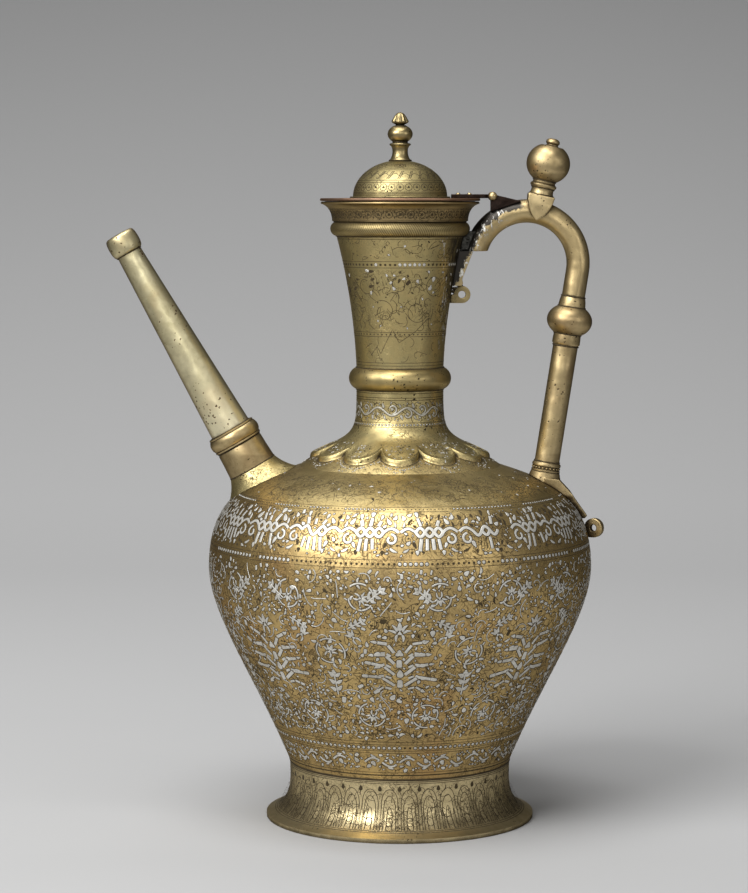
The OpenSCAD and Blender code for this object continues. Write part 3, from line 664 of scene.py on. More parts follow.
# The lighter tint towards the lower end of the spout is a painted highlight.
spout_brass = metal_finish(
    "spout_brass", (0.80, 0.72, 0.46), (0.42, 0.37, 0.21), (0.10, 0.062, 0.030), 0.33,
    cloud=38.0, pits=0.36, dents=0.30, dirt_and_corner_shade=1.0, stain=(0.44, 0.31, 0.14), edge=0.9,
    upper=(0.2500, 0.2050, (0.96, 0.88, 0.62)),
)
arch_brass = metal_finish(
    "arch_brass", (0.63, 0.49, 0.255), (0.42, 0.32, 0.16), (0.070, 0.048, 0.025), 0.32,
    cloud=34.0, pits=0.22, pit_scale=450.0, dents=0.40, smear=(solder_on_arch, 0.0038), dirt_and_corner_shade=1.0, edge=0.8,
)
terminal_brass = metal_finish(
    "terminal_brass", (0.68, 0.54, 0.30), (0.44, 0.35, 0.19), (0.06, 0.045, 0.025), 0.28,
    cloud=34.0, pits=0.26, pit_scale=300.0, dents=0.35, smear=(solder_on_terminal, 0.0013), dirt_and_corner_shade=0.8,
)
copper_finish = metal_finish(
    "copper_red", (0.42, 0.24, 0.15), (0.22, 0.15, 0.10), (0.05, 0.035, 0.03), 0.36, dirt_and_corner_shade=0.6,
)
iron_finish = metal_finish(
    "dark_iron", (0.036, 0.023, 0.018), (0.016, 0.012, 0.010), (0.010, 0.008, 0.007), 0.30,
    cloud=90.0, pits=0.3, dents=0.5,
)
solder_finish = metal_finish(
    "solder", (0.070, 0.068, 0.060), (0.030, 0.029, 0.026), (0.013, 0.013, 0.011), 0.38,
    cloud=160.0, pits=0.4, pit_scale=700.0, dents=0.6,
)
silver_finish = metal_finish(
    "silver_inlay", (0.76, 0.75, 0.70), (0.42, 0.40, 0.35), (0.15, 0.14, 0.12), 0.42,
    cloud=75.0, pits=0.22, pit_scale=800.0, dents=0.1, metallic=0.7,
)
dull_silver_finish = metal_finish(
    "dull_silver_inlay", (0.50, 0.48, 0.41), (0.30, 0.28, 0.22), (0.12, 0.11, 0.09), 0.42,
    cloud=90.0, pits=0.26, pit_scale=800.0, dents=0.1, metallic=0.7,
)
black_finish = metal_finish(
    "black_lines", (0.040, 0.030, 0.018), (0.085, 0.062, 0.030), (0.01, 0.01, 0.01), 0.55,
    cloud=120.0, pits=0.1, dents=0.1, metallic=0.4,
)


# Turned pieces of the vessel

def make_body():
    inner = inward(body_outline + throat[1:], WALL)
    outline = body_outline + throat[1:] + [(THROAT[0] - WALL, THROAT[1])]
    outline += inner[1:-1][::-1] + [(WAIST[0] - WALL, WAIST[1])]
    piece = turned("vessel_body_shell", closed(outline), 240)
    clear_bench()
    bpy.ops.mesh.primitive_cylinder_add(
        vertices=64, radius=SPOUT_BORE * MM, depth=60 * MM, end_fill_type="NGON",
    )
    drill = bpy.context.object
    drill.matrix_world = in_metres(SPOUT)
    apply_modifier(piece, "BOOLEAN", operation="DIFFERENCE", object=drill, solver="EXACT")
    bpy.data.objects.remove(drill, do_unlink=True)
    round_shading(piece)
    finish_piece(piece, "ewer", body_brass, ["vessel_body"])


def make_foot():
    inner = inward(foot_flare, -WALL)
    outline = [WAIST, (59.5, 27)] + foot_flare
    outline += [(72.4, 1.9), (72.4, 0.5), (72.1, 0), (70.9, 0)] + inner[1:-1][::-1]
    outline += [(57.35, 27.25), (52.6, 28.75), (52.6, 31)]
    turned_piece("foot_ring", closed(outline), foot_brass, 220, slot="body_brass")


LOBES = 12
PETAL_HALF = 10.2
PETAL_CENTRE = 38.3
PETAL_ROOT = 33
ROLLED_EDGE = 2.6
SHEET = 2.3
SKIRT_END = 55.5


def petal_depth(radius, off):
    """How far a place lies inside its petal's outline: straight sides and a round end."""
    along, across = radius * cos(off), abs(radius * sin(off))
    return PETAL_HALF - (across if along < PETAL_CENTRE else hypot(along - PETAL_CENTRE, across))


def petal_angle(turn):
    step = TURN / LOBES
    return (turn + step / 2) % step - step / 2


def collar_edge(off):
    """Radius of the scalloped edge at an angle from the middle of a petal."""
    return PETAL_CENTRE * cos(off) + sqrt(max(PETAL_HALF ** 2 - (PETAL_CENTRE * sin(off)) ** 2, 0.0))


def trumpet_level(radius):
    """Height of the flaring neck at a radius; past its end it runs straight on."""
    if radius >= trumpet[0][0]:
        return trumpet[0][1] - 0.495 * (radius - trumpet[0][0])
    for a, b in zip(trumpet, trumpet[1:]):
        if b[0] <= radius:
            return a[1] + (b[1] - a[1]) * (a[0] - radius) / (a[0] - b[0])
    return trumpet[-1][1]


def skirt_level(radius):
    return trumpet_level(radius) - SHEET - 0.019 * max(radius - 47.0, 0.0) ** 2


def petal_level(radius, off):
    """Height on a petal: a shallow dish inside a thin rolled edge."""
    depth = petal_depth(radius, off)
    near = min(max((radius - PETAL_ROOT) / 6.0, 0.0), 1.0)
    near = near * near * (3 - 2 * near)
    shape = 0.45 * exp(-((depth - 0.95) / 0.6) ** 2) - 0.26 * exp(-((depth - 3.6) / 1.9) ** 2)
    fall = min(max(1.0 - depth, 0.0), 1.0) if radius > 38 else 0.0
    return trumpet_level(radius) + shape * near - 1.1 * (1 - sqrt(1 - fall * fall))


def collar_cut(turn):
    """The collar's cut at one angle: sleeve, trumpet, petal, its rolled edge and the skirt below."""
    off = petal_angle(turn)
    edge = collar_edge(off)
    roll = edge - ROLLED_EDGE
    points = [(THROAT[0], NECK_RING_Z), (NECK_R, NECK_RING_Z), (NECK_R, 232)]
    radii = [r for r, z in trumpet[::-1] if r < 32.5]
    radii += [PETAL_ROOT + (roll - PETAL_ROOT) * i / 12 for i in range(13)]
    radii += [roll + ROLLED_EDGE * i / 12 for i in range(1, 13)]
    points += [(r, petal_level(r, off)) for r in radii]
    points.append((edge + 0.02, skirt_level(edge) + 0.25))
    below = [edge + 0.3 + (SKIRT_END - edge - 0.3) * i / 9 for i in range(10)]
    points += [(r, skirt_level(r)) for r in below]
    inside = cubic_line(*THROAT_BEND, (SHOULDER[0] - 12, 196.0), THROAT, 6)
    return closed(points + [(r, z - 0.1) for r, z in inside])


def make_collar():
    columns = LOBES * 44
    cuts = [collar_cut(TURN * i / columns) for i in range(columns)]

    def lay(column, row):
        r, z = cuts[column % columns][row]
        turn = TURN * (column % columns) / columns
        return (r * sin(turn), -r * cos(turn), z)

    piece = skin("neck_collar_lobed", columns, len(cuts[0]) - 1, lay)
    close_seams(piece)
    round_shading(piece, 55)
    finish_piece(piece, "ewer", neck_brass, ["neck_collar"])
    piece.data.materials.append(body_brass)
    for face in piece.data.polygons:
        x, y = face.center.x / MM, face.center.y / MM
        if hypot(x, y) > collar_edge(petal_angle(atan2(x, -y))) - 0.1:
            face.material_index = 1


def make_neck():
    ring = bored(NECK_R, swell(23.5, 27.5, NECK_RING_Z, 11.7))
    turned_piece("neck_ring", ring, plain_brass, 160, slot="body_brass")
    outer = [(NECK_R, NECK_RING_Z)] + neck_outline + [(NECK_TOP_R, MOUTH_RING_Z)]
    inner = [(r - WALL, z) for r, z in outer][::-1]
    turned_piece("neck_tube", closed(outer + inner), neck_brass, 160, slot="body_brass")
    hoop = bored(NECK_TOP_R, swell(34.1, 37.4, MOUTH_RING_Z, 7.9))
    turned_piece("mouth_ring", hoop, rope_brass, 180, slot="body_brass", ending="_hatched")
    inner = cubic_line(*RIM_BEND, (33.4, RIM_Z), (40.8, 332.2), 20)[::-1]
    rim = [(NECK_TOP_R, MOUTH_RING_Z), (NECK_TOP_R, RIM_Z)] + rim_outline
    rim += [(42.5, 331.5), (42.4, 332.1), (41.8, LIP_Z)] + inner + [(32.5, RIM_Z), (32.5, MOUTH_RING_Z)]
    turned_piece("mouth_rim", closed(rim), rim_brass, 180, slot="body_brass")


# Lid and its finial

FINIAL_Z = 353.9
FINIAL_BALL_Z = 364
FINIAL_BUD_Z = 372.6


def flutes(height, turn):
    """The bud's twelve flutes, deepest at its middle."""
    share = max(0.0, 1 - abs(height - 376.4) / 3.2)
    return 1 - 0.16 * share * (0.5 - 0.5 * cos(12 * turn)) ** 0.6


def make_lid():
    plate = [(42.4, 0), (42.8, 0.3), (42.9, 0.75), (42.8, 1.2), (42.4, 1.5)]
    plate = capped([(r, PLATE_Z + z) for r, z in plate])
    turned_piece("lid_plate", plate, copper_finish, 180, slot="copper_red", body="lid")
    flange = [(26.6, PLATE_TOP), (26.8, PLATE_TOP + 0.2), (26.8, DOME_Z - 0.2), (26.6, DOME_Z)]
    inner = dome_line(24, 18.1, 20)[::-1] + [(24, PLATE_TOP)]
    dome = closed(flange + dome_outline + inner)
    turned_piece("lid_dome", dome, dome_brass, 160, slot="body_brass", body="lid")
    pedestal = [
        (5.9, 0), (5.9, 0.5), (4.9, 1.6), (4.3, 3.4), (4.1, 5.2), (4.3, 6.9),
        (4.9, 8.0), (5.6, 8.5), (5.7, 9.0), (5.4, 9.4), (4.2, 9.6), (3.9, 10.1),
    ]
    pedestal = capped([(r, FINIAL_Z + z) for r, z in pedestal])
    turned_piece("finial_pedestal", pedestal, finial_brass, 64, body="lid")
    ball = capped(ball_line(6.7, 8.6, 3.4, FINIAL_BALL_Z))
    turned_piece("finial_ball", ball, finial_brass, 72, body="lid")
    bud = capped([
        (2.4, FINIAL_BUD_Z), (2.3, 373.1), (2.6, 373.4), (3.7, 373.9), (4.4, 374.5), (4.6, 374.9),
        (4.45, 375.4), (3.9, 376.4), (3.3, 377.4), (2.7, 378.3), (2.0, 379.1), (1.2, 379.6), (0.5, 379.8),
    ])
    turned_piece("finial_bud", bud, finial_brass, 144, body="lid", ending="_fluted", ripple=flutes, angle=60)


# Handle and spout, turned in place along their own axes

def make_handle():
    ring = [(7.3, 5.6), (7.7, 5.9), (7.7, 6.5), (7.0, 7.0), (7.0, 8.2), (7.7, 8.7), (7.75, 9.3),
            (7.6, 9.9), (7.0, 10.5), (6.75, 11)]
    lower = [(6.75, 74.1), (6.9, 74.7), (7.4, 75.2), (7.5, 75.8), (7.45, 78.0), (7.3, 80.5)]
    upper = [(7.3, 95.1), (7.25, 96.4), (7.0, 98.4), (6.6, 100.2), (6.3, 100.6), (6.25, 100.8)]
    stem = [(6.5, 37.05), (6.3, 37.8), (6.0, 38.8), (5.95, 40.2), (6.2, 41.0), (6.9, 41.6), (7.1, 42.2),
            (7.0, 42.8), (6.4, 43.3), (6.0, 43.7), (6.1, 44.95)]
    button = [(3.3, 63.55), (3.1, 64.2), (3.15, 64.7), (3.6, 65.1), (3.75, 65.7), (3.55, 66.5),
              (2.9, 67.2), (1.8, 67.65), (0.7, 67.75)]
    for node, line, segments, place in (
        ("handle_shaft", [(6.7, 11), (6.7, 40), (6.7, 74.1)], 80, SHAFT),
        ("beaded_ring", ring, 80, SHAFT),
        ("lower_collar", lower, 80, SHAFT),
        ("handle_knop", ball_line(12.2, 14.6, 7.3, 80.5), 112, SHAFT),
        ("upper_collar", upper, 80, SHAFT),
        ("thumb_stem", stem, 80, KNOB),
        ("thumb_ball", ball_line(11.7, 18.6, 6.0, 44.95), 112, KNOB),
        ("thumb_button", button, 64, KNOB),
    ):
        turned_piece(node, capped(line), cast_brass, segments, place)


def make_spout():
    socket = [(13.45, 7.8), (13.3, 10.5), (13.0, 16.0), (12.85, 21.2), (12.5, 21.9), (12.5, 22.6)]
    ring = [(13.1, 22.6), (13.5, 22.8), (13.5, 23.5), (13.1, 23.8)] + swell(13.3, 14.3, 27.0, 6.2)
    ring += [(12.9, 30.3), (13.2, 30.5), (13.2, 31.1), (12.8, 31.4)]
    tube = [(SPOUT_BORE, 31.4), (11.25, 31.4), (9.0, 86), (6.85, 140.4), (5.45, 140.4)]
    cap = [(4.6, 140.4), (6.8, 140.4), (7.7, 140.8), (8.3, 141.8), (8.7, 143.6), (8.8, 145.6), (8.75, 147.6),
           (8.5, 149.6), (8.0, 151.0), (7.2, 151.6), (5.4, 151.8), (4.6, 151.5)]
    turned_piece("spout_socket", bored(SPOUT_BORE, socket), cast_brass, 112, SPOUT)
    turned_piece("spout_ring", bored(SPOUT_BORE, ring), cast_brass, 112, SPOUT)
    turned_piece("spout_tube", closed(tube), spout_brass, 96, SPOUT)
    turned_piece("spout_mouthpiece", closed(cap), spout_brass, 96, SPOUT)


# Cast and soldered pieces, softened copies of the solids

def copy_of_solid(node, ending):
    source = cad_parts[node]
    piece = source.copy()
    piece.data = source.data.copy()
    piece.parent = None
    piece.name = node + ending
    bpy.context.scene.collection.objects.link(piece)
    close_seams(piece, False)
    return piece


def softened(node, finish, voxel, rounds, lumps=0.0, lump_scale=0.003, body="ewer"):
    piece = copy_of_solid(node, "_cast")
    apply_modifier(piece, "REMESH", mode="VOXEL", voxel_size=voxel * MM)
    apply_modifier(piece, "SMOOTH", factor=0.5, iterations=rounds)
    if lumps:
        lump(piece, node, lump_scale, lumps, 0.5)
    take(piece)
    bpy.ops.object.shade_smooth()
    return finish_piece(piece, body, finish, [node])


def bevelled(node, finish, width, body="ewer"):
    piece = copy_of_solid(node, "_filed")
    open_up(piece)
    bpy.ops.mesh.dissolve_limited(angle_limit=radians(1))
    bpy.ops.object.mode_set(mode="OBJECT")
    apply_modifier(
        piece, "BEVEL", width=width * MM, segments=2, limit_method="ANGLE", angle_limit=radians(40),
    )
    round_shading(piece, 40)
    return finish_piece(piece, body, finish, [node])


def file_down(piece, place, across):
    """Cuts a piece along a slanting plane and keeps the side that across points away from."""
    open_up(piece)
    bpy.ops.mesh.bisect(plane_co=Vector(place) * MM, plane_no=across, use_fill=True, clear_outer=True)
    bpy.ops.object.mode_set(mode="OBJECT")


def make_castings():
    softened("handle_arch", arch_brass, 0.45, 3)
    softened("upper_terminal", terminal_brass, 0.3, 4)
    softened("upper_lug", finial_brass, 0.25, 5)
    softened("lower_terminal", cast_brass, 0.35, 14)
    softened("lower_lug", cast_brass, 0.25, 5)
    softened("thumb_saddle", cast_brass, 0.3, 5)
    softened("spout_flange", neck_brass, 0.4, 2)
    softened("upper_solder", solder_finish, 0.3, 12, 1.0)
    bracket = softened("hinge_bracket", iron_finish, 0.25, 2, 0.25, 0.004)
    file_down(bracket, (53.4, 0, 335.3), (0.24, 0, 1))
    file_down(bracket, (47.9, 0, 327.0), (0.323, 0, -0.946))
    softened("lid_strap", iron_finish, 0.2, 2, 0.12, body="lid")
    bevelled("strap_rivets", cast_brass, 0.15, "lid")
    softened("hinge_pin", cast_brass, 0.2, 3)
    bevelled("base_plate", plain_brass, 0.3)


def make_handle_beads():
    """A few small brass beads in the groove of the beaded ring."""
    count = 22
    beads = []
    for i in range(count):
        clear_bench()
        bpy.ops.mesh.primitive_ico_sphere_add(subdivisions=2, radius=0.62 * MM)
        bead = bpy.context.object
        turn = TURN * i / count
        centre = SHAFT @ Vector((7.15 * sin(turn), -7.15 * cos(turn), 7.6))
        bpy.ops.transform.translate(value=centre * MM)
        bpy.ops.object.transform_apply(location=True)
        beads.append(bead)
    piece = joined(beads, "beaded_ring_beads")
    bpy.ops.object.shade_smooth()
    finish_piece(piece, "ewer", cast_brass)


def joint_dirt(name, body, seams):
    """Old dirt in the joints: a thin uneven ring at each (place, height, radius, thickness)."""
    rings = []
    for place, height, radius, thick in seams:
        clear_bench()
        bpy.ops.mesh.primitive_torus_add(
            major_segments=96, minor_segments=8, major_radius=radius * MM, minor_radius=thick * MM,
        )
        ring = bpy.context.object
        set_down(ring, place @ Matrix.Translation((0, 0, height)))
        rings.append(ring)
    piece = joined(rings, name)
    lump(piece, name, 0.002, 0.5, 0.6)
    take(piece)
    bpy.ops.object.shade_smooth()
    finish_piece(piece, body, black_finish)


def make_joint_dirt():
    handle = [(5.5, 7.3), (7.6, 6.9), (11.0, 6.75), (74.1, 6.8), (80.5, 7.3), (95.1, 7.3), (100.7, 6.3)]
    knob = [(37.2, 6.5), (40.9, 6.1), (44.9, 6.1), (63.5, 3.3)]
    spout = [(7.8, 13.35), (22.3, 12.6), (31.4, 11.5), (140.4, 6.9)]
    vessel = [(31.1, 59.6, 0.55), (232.2, 23.5, 0.42), (243.8, 23.55, 0.42), (314.0, 34.1, 0.42),
              (322.0, 35.4, 0.50)]
    lug = [(31.8, 287.5, 1.4, 0.60), (29.6, 286.0, 1.0, 0.90), (28.9, 284.4, 0.8, 0.90)]
    lid = [(334.4, 26.7, 0.25), (354.3, 5.9, 0.34), (364.0, 3.9, 0.36), (372.6, 2.8, 0.34)]
    seams = [(SHAFT, *seam, 0.45) for seam in handle]
    seams += [(KNOB, *seam, 0.42) for seam in knob]
    seams += [(SPOUT, *seam, 0.45) for seam in spout]
    seams += [(UPRIGHT, *seam) for seam in vessel]
    seams += [(leaning(x, z, 0), 0, radius, thick) for x, z, radius, thick in lug]
    joint_dirt("joint_dirt", "ewer", seams)
    joint_dirt("lid_joint_dirt", "lid", [(UPRIGHT, *seam) for seam in lid])
    outline = [(35.5, 332.2), (40.2, 332.2), (40.2, 332.62), (35.5, 332.62)]
    piece = turned("lip_dirt", closed(outline), 120)
    finish_piece(piece, "ewer", black_finish)


# Inlay and engraving, laid on the turned surfaces

def motif(name, sides, length, width, taper=0.0, bow=0.0, lobes=0, square=1.0):
    """One small plate, 1 mm long, modelled flat: a disc is shaped, raised and narrowed at its top."""
    clear_bench()
    bpy.ops.mesh.primitive_circle_add(vertices=sides, radius=0.5, fill_type="NOTHING")
    plate = bpy.context.object
    plate.name = name
    for i, point in enumerate(plate.data.vertices):
        turn = TURN * (i + 0.5 * (square < 1)) / sides
        swelling = 1 + lobes * cos(3 * turn)
        x = 0.5 * abs(cos(turn)) ** square * (1 if cos(turn) > 0 else -1)
        y = 0.5 * abs(sin(turn)) ** square * (1 if sin(turn) > 0 else -1)
        point.co.x = x * length * swelling
        point.co.y = y * width * swelling * (1 - taper * cos(turn)) + bow * (x * length) ** 2
    bpy.ops.object.mode_set(mode="EDIT")
    bpy.ops.mesh.select_all(action="SELECT")
    bpy.ops.mesh.extrude_region_move(TRANSFORM_OT_translate={"value": (0, 0, 1)})
    bpy.ops.transform.resize(value=(0.84, 0.84, 1))
    bpy.ops.mesh.fill()
    bpy.ops.object.mode_set(mode="OBJECT")
    made = ([tuple(v.co) for v in plate.data.vertices], [tuple(f.vertices) for f in plate.data.polygons])
    bpy.data.objects.remove(plate, do_unlink=True)
    return made


MOTIF_SHAPES = {
    "dot": (8, 1.0, 1.0),
    "leaf": (12, 1.0, 0.46, 0.5),
    "petal": (14, 1.0, 0.30, 0.35, 0.35),
    "hook": (14, 1.0, 0.30, 0.35, -0.5),
    "curl": (10, 1.0, 0.38, 0.45, 0.55),
    "comma": (10, 1.0, 0.44, 0.45, -0.7),
    "drop": (10, 1.0, 0.66, 0.5),
    "bud": (12, 0.75, 0.75, 0.0, 0.0, 0.3),
    "bar": (8, 1.0, 0.38, 0.0, 0.0, 0, 0.5),
    "slab": (8, 1.0, 0.58, 0.15, 0.12, 0, 0.45),
    "wing": (14, 1.0, 0.52, 0.75, 0.5),
    "chip": (6, 1.0, 0.66, 0.3),
    "seed": (6, 1.0, 0.46, 0.45),
    "dash": (6, 1.0, 0.40, 0.2, 0.4),
    "shard": (5, 1.0, 0.72, 0.2),
}
MOTIFS = {name: motif(name, *shape) for name, shape in MOTIF_SHAPES.items()}


def swung(x, y, heading, size):
    """A motif's point, turned to a heading and scaled."""
    return (x * cos(heading) - y * sin(heading)) * size, (x * sin(heading) + y * cos(heading)) * size


def rim_of(shape):
    """The points round the foot of a motif."""
    points = MOTIFS[shape][0]
    return points[:len(points) // 2]


class Inlay:
    """Collects thin plates and wires, and makes one piece of them."""

    def __init__(self):
        self.points = []
        self.faces = []

    def lay(self, wall, turn, s, across, along, lift):
        radius = max(wall.radius(s), 1.0)
        self.points.append(wall.point(turn + across / radius, s + along, lift))

    def plate(self, wall, turn, s, shape, size, heading, lift, thick):
        """Lays a copy of a motif on the wall, turned to its heading and wrapped round the curve."""
        points, faces = MOTIFS[shape]
        start = len(self.points)
        for x, y, z in points:
            self.lay(wall, turn, s, *swung(x, y, heading, size), lift + thick * z)
        self.faces += [tuple(start + i for i in face) for face in faces]

    def patch(self, wall, turn, s, shape, size, heading, lift, grow):
        """A flat patch a little larger than the motif, for the dark line round it."""
        start = len(self.points)
        for x, y, _ in rim_of(shape):
            self.lay(wall, turn, s, *swung(x, y, heading, size + grow / max(hypot(x, y), 0.2)), lift)
        self.faces.append(tuple(range(start, len(self.points))))

    def wire(self, wall, path, width, lift, thick):
        """A strip along a path of (turn, s) points, raised in its middle where it has a thickness."""
        profile = [(-0.5, 0.0), (0.5, 0.0)]
        if thick:
            profile[1:1] = [(-0.3, thick), (0.3, thick)]
        rows = len(profile)
        start = len(self.points)
        last = len(path) - 1
        for i, (turn, s) in enumerate(path):
            radius = max(wall.radius(s), 1.0)
            a, b = path[max(i - 1, 0)], path[min(i + 1, last)]
            along = Vector(((b[0] - a[0]) * radius, b[1] - a[1]))
            if along.length < 1e-9:
                along = Vector((1, 0))
            along.normalize()
            side = Vector((-along[1], along[0]))
            for share, rise in profile:
                self.lay(wall, turn, s, *(side * width * share), lift + rise)
        for i in range(last):
            for k in range(rows - 1):
                a = start + i * rows + k
                self.faces.append((a, a + rows, a + rows + 1, a + 1))

    def make(self, name, body, finish, raised):
        mesh = bpy.data.meshes.new(name)
        mesh.from_pydata([Vector(p) * MM for p in self.points], [], self.faces)
        mesh.update()
        piece = bpy.data.objects.new(name, mesh)
        bpy.context.scene.collection.objects.link(piece)
        if raised:
            open_up(piece)
            bpy.ops.mesh.normals_make_consistent(inside=False)
            bpy.ops.object.mode_set(mode="OBJECT")
        finish_piece(piece, body, finish)


LINE_LIFT = 0.03
SILVER_LIFT = 0.05
SILVER_THICK = 0.07
OUTLINE = 0.40


class Ornament:
    """Silver plates and their dark outlines on one surface."""

    def __init__(self, wall, chance, outline=OUTLINE):
        self.wall = wall
        self.chance = chance
        self.outline = outline
        self.silver = Inlay()
        self.black = Inlay()
        self.taken = {}

    def off(self, turn, s, across, up):
        """The place this far across and up from (turn, s)."""
        return turn + across / self.wall.radius(s), s + up

    def cell(self, turn, s):
        return int((turn % TURN) * 16), int(s / 5)

    def take_up(self, turn, s, size):
        self.taken.setdefault(self.cell(turn, s), []).append((turn % TURN, s, size))

    def is_free(self, turn, s, size, gap):
        """True where a plate of this size would clear its neighbours by the gap."""
        column, row = self.cell(turn, s)
        radius = self.wall.radius(s)
        for i in (-1, 0, 1):
            for j in (-1, 0, 1):
                for other, height, width in self.taken.get((column + i, row + j), []):
                    across = (turn % TURN - other) * radius
                    if hypot(across, s - height) < (size + width) * 0.5 + gap:
                        return False
        return True

    def plate(self, turn, s, shape, size, heading, lost=False):
        self.take_up(turn, s, size * 0.8)
        outline = 0.0 if lost else self.outline
        self.black.patch(self.wall, turn, s, shape, size, heading, LINE_LIFT, outline)
        if not lost:
            self.silver.plate(self.wall, turn, s, shape, size, heading, SILVER_LIFT, SILVER_THICK)

    def nick(self, turn, s, shape, size, heading=pi / 2):
        """A small dark mark with no silver in it."""
        self.black.patch(self.wall, turn, s, shape, size, heading, LINE_LIFT, 0.0)

    def put(self, turn, s, distance, angle, shape, size, tilt):
        """A plate some way off in the direction of an angle."""
        place = self.off(turn, s, distance * cos(angle), distance * sin(angle))
        self.plate(*place, shape, size, tilt)

    def line(self, path, width=0.3):
        self.black.wire(self.wall, path, width, LINE_LIFT, 0)

    def wire(self, path, width, outline=None):
        outline = self.outline if outline is None else outline
        self.line(path, width + 2 * outline)
        self.silver.wire(self.wall, path, width, SILVER_LIFT, SILVER_THICK)
        for turn, s in path[::2]:
            self.take_up(turn, s, width * 1.6)

    def bare(self, turn, s, shape, size, heading, width=0.26):
        """A form left in plain brass, with a dark line round it."""
        self.take_up(turn, s, size * 0.9)
        ring = [self.off(turn, s, *swung(x, y, heading, size)) for x, y, _ in rim_of(shape)]
        self.line(closed(ring), width)

    def lost_wire(self, path, width):
        """The two dark lines that stay where a silver wire fell out."""
        radius = self.wall.radius(path[0][1])
        flat = [(turn * radius, s) for turn, s in path]
        for side in (-0.5, 0.5):
            edge = [
                (turn - along[1] * width * side / radius, s + along[0] * width * side)
                for (turn, s), along in zip(path, directions(flat))
            ]
            self.line(edge, 0.3)

    def worn_wire(self, path, width, lost_share, lost_width=None):
        """A wire that may have lost its silver."""
        if self.chance.random() < lost_share:
            self.lost_wire(path, lost_width or width)
        else:
            self.wire(path, width)

    def ring(self, s, width=0.3, steps=180):
        self.line([(TURN * i / steps, s) for i in range(steps + 1)], width)

    def rings(self, lengths, width=0.3, steps=180):
        for s in lengths:
            self.ring(s, width, steps)

    def loop(self, turn, s, reach, steps, width, squash=1.0):
        """A small engraved ring."""
        angles = [TURN * i / steps for i in range(steps + 1)]
        self.line([self.off(turn, s, reach * cos(a), reach * squash * sin(a)) for a in angles], width)

    def beads(self, s, size, pitch, lost_share):
        """A line of beads; the lost ones come in runs, as on the old piece."""
        count = int(TURN * self.wall.radius(s) / pitch)
        lost = False
        for i in range(count):
            if self.chance.random() < 0.25:
                lost = self.chance.random() < lost_share
            self.plate(TURN * i / count, s, "dot", size * (0.8 if lost else 1.0), 0, lost)

    def spiral(self, turn, s, reach, start, direction, turns, steps, inner):
        """The path of a stem that winds in towards (turn, s)."""
        path = []
        for i in range(steps + 1):
            t = i / steps
            arm = reach * (1 - (1 - inner) * t)
            a = start + direction * TURN * turns * t
            path.append(self.off(turn, s, arm * cos(a), arm * sin(a)))
        return path

    def make(self, name, body="ewer", silver=silver_finish):
        if self.silver.faces:
            self.silver.make(name + "_silver", body, silver, True)
        self.black.make(name + "_dark_lines", body, black_finish, False)


def palmette(work, turn, s, reach, heading, petals=5, spread=0.52):
    """Petals fanned round a bud, with two leaves that curl back below."""
    work.put(turn, s, 0, 0, "bud", reach * 0.42, heading)
    middle = (petals - 1) / 2
    for k in range(petals):
        angle = heading + (k - middle) * spread
        shape = "leaf" if k == middle else ("petal" if k > middle else "hook")
        work.put(turn, s, reach * 0.60, angle, shape, reach * (0.78 - 0.05 * abs(k - middle)), angle)
    for side, shape in ((-1, "hook"), (1, "petal")):
        angle = heading + pi - side * 0.62
        work.put(turn, s, reach * 0.52, angle, shape, reach * 0.70, angle + side * 0.5)


def leafy_stem(work, path, width, leaf, piece=6, every=3):
    """A stem laid in short silver lengths, with leaves on both sides."""
    chance = work.chance
    radius = work.wall.radius(path[0][1])
    for i in range(0, len(path) - 2, piece):
        work.wire(path[i:i + piece], width)
    for i in range(2, len(path) - 2, every):
        a, b = path[i - 1], path[i + 1]
        heading = atan2(b[1] - a[1], (b[0] - a[0]) * radius)
        for side in (1, -1):
            if chance.random() < 0.12:
                continue
            size = leaf * chance.uniform(0.7, 1.15)
            tilt = heading + side * chance.uniform(0.7, 1.1)
            shape = chance.choice(["leaf", "curl", "comma", "drop", "petal"])
            work.put(*path[i], size * 0.5 + width, tilt, shape, size, tilt)


def branch(work, turn, s, x, y, long, heading, side, width):
    """A bent branch in two lengths that rises from (x, y) beside the stem, with a leaf at its tip."""
    chance = work.chance
    for knee, share in ((0.0, 0.46), (side * chance.uniform(0.5, 0.9), 0.40)):
        heading += knee
        piece = []
        for t in range(4):
            reach = long * share * t / 3
            piece.append(work.off(turn, s, x + reach * cos(heading), y + reach * sin(heading)))
        work.wire(piece, width * chance.uniform(0.85, 1.1))
        x += (long * share + 0.9) * cos(heading)
        y += (long * share + 0.9) * sin(heading)
    tip = work.off(turn, s, x + cos(heading), y + sin(heading))
    work.plate(*tip, chance.choice(["wing", "leaf", "slab"]), chance.uniform(2.6, 3.8), heading)


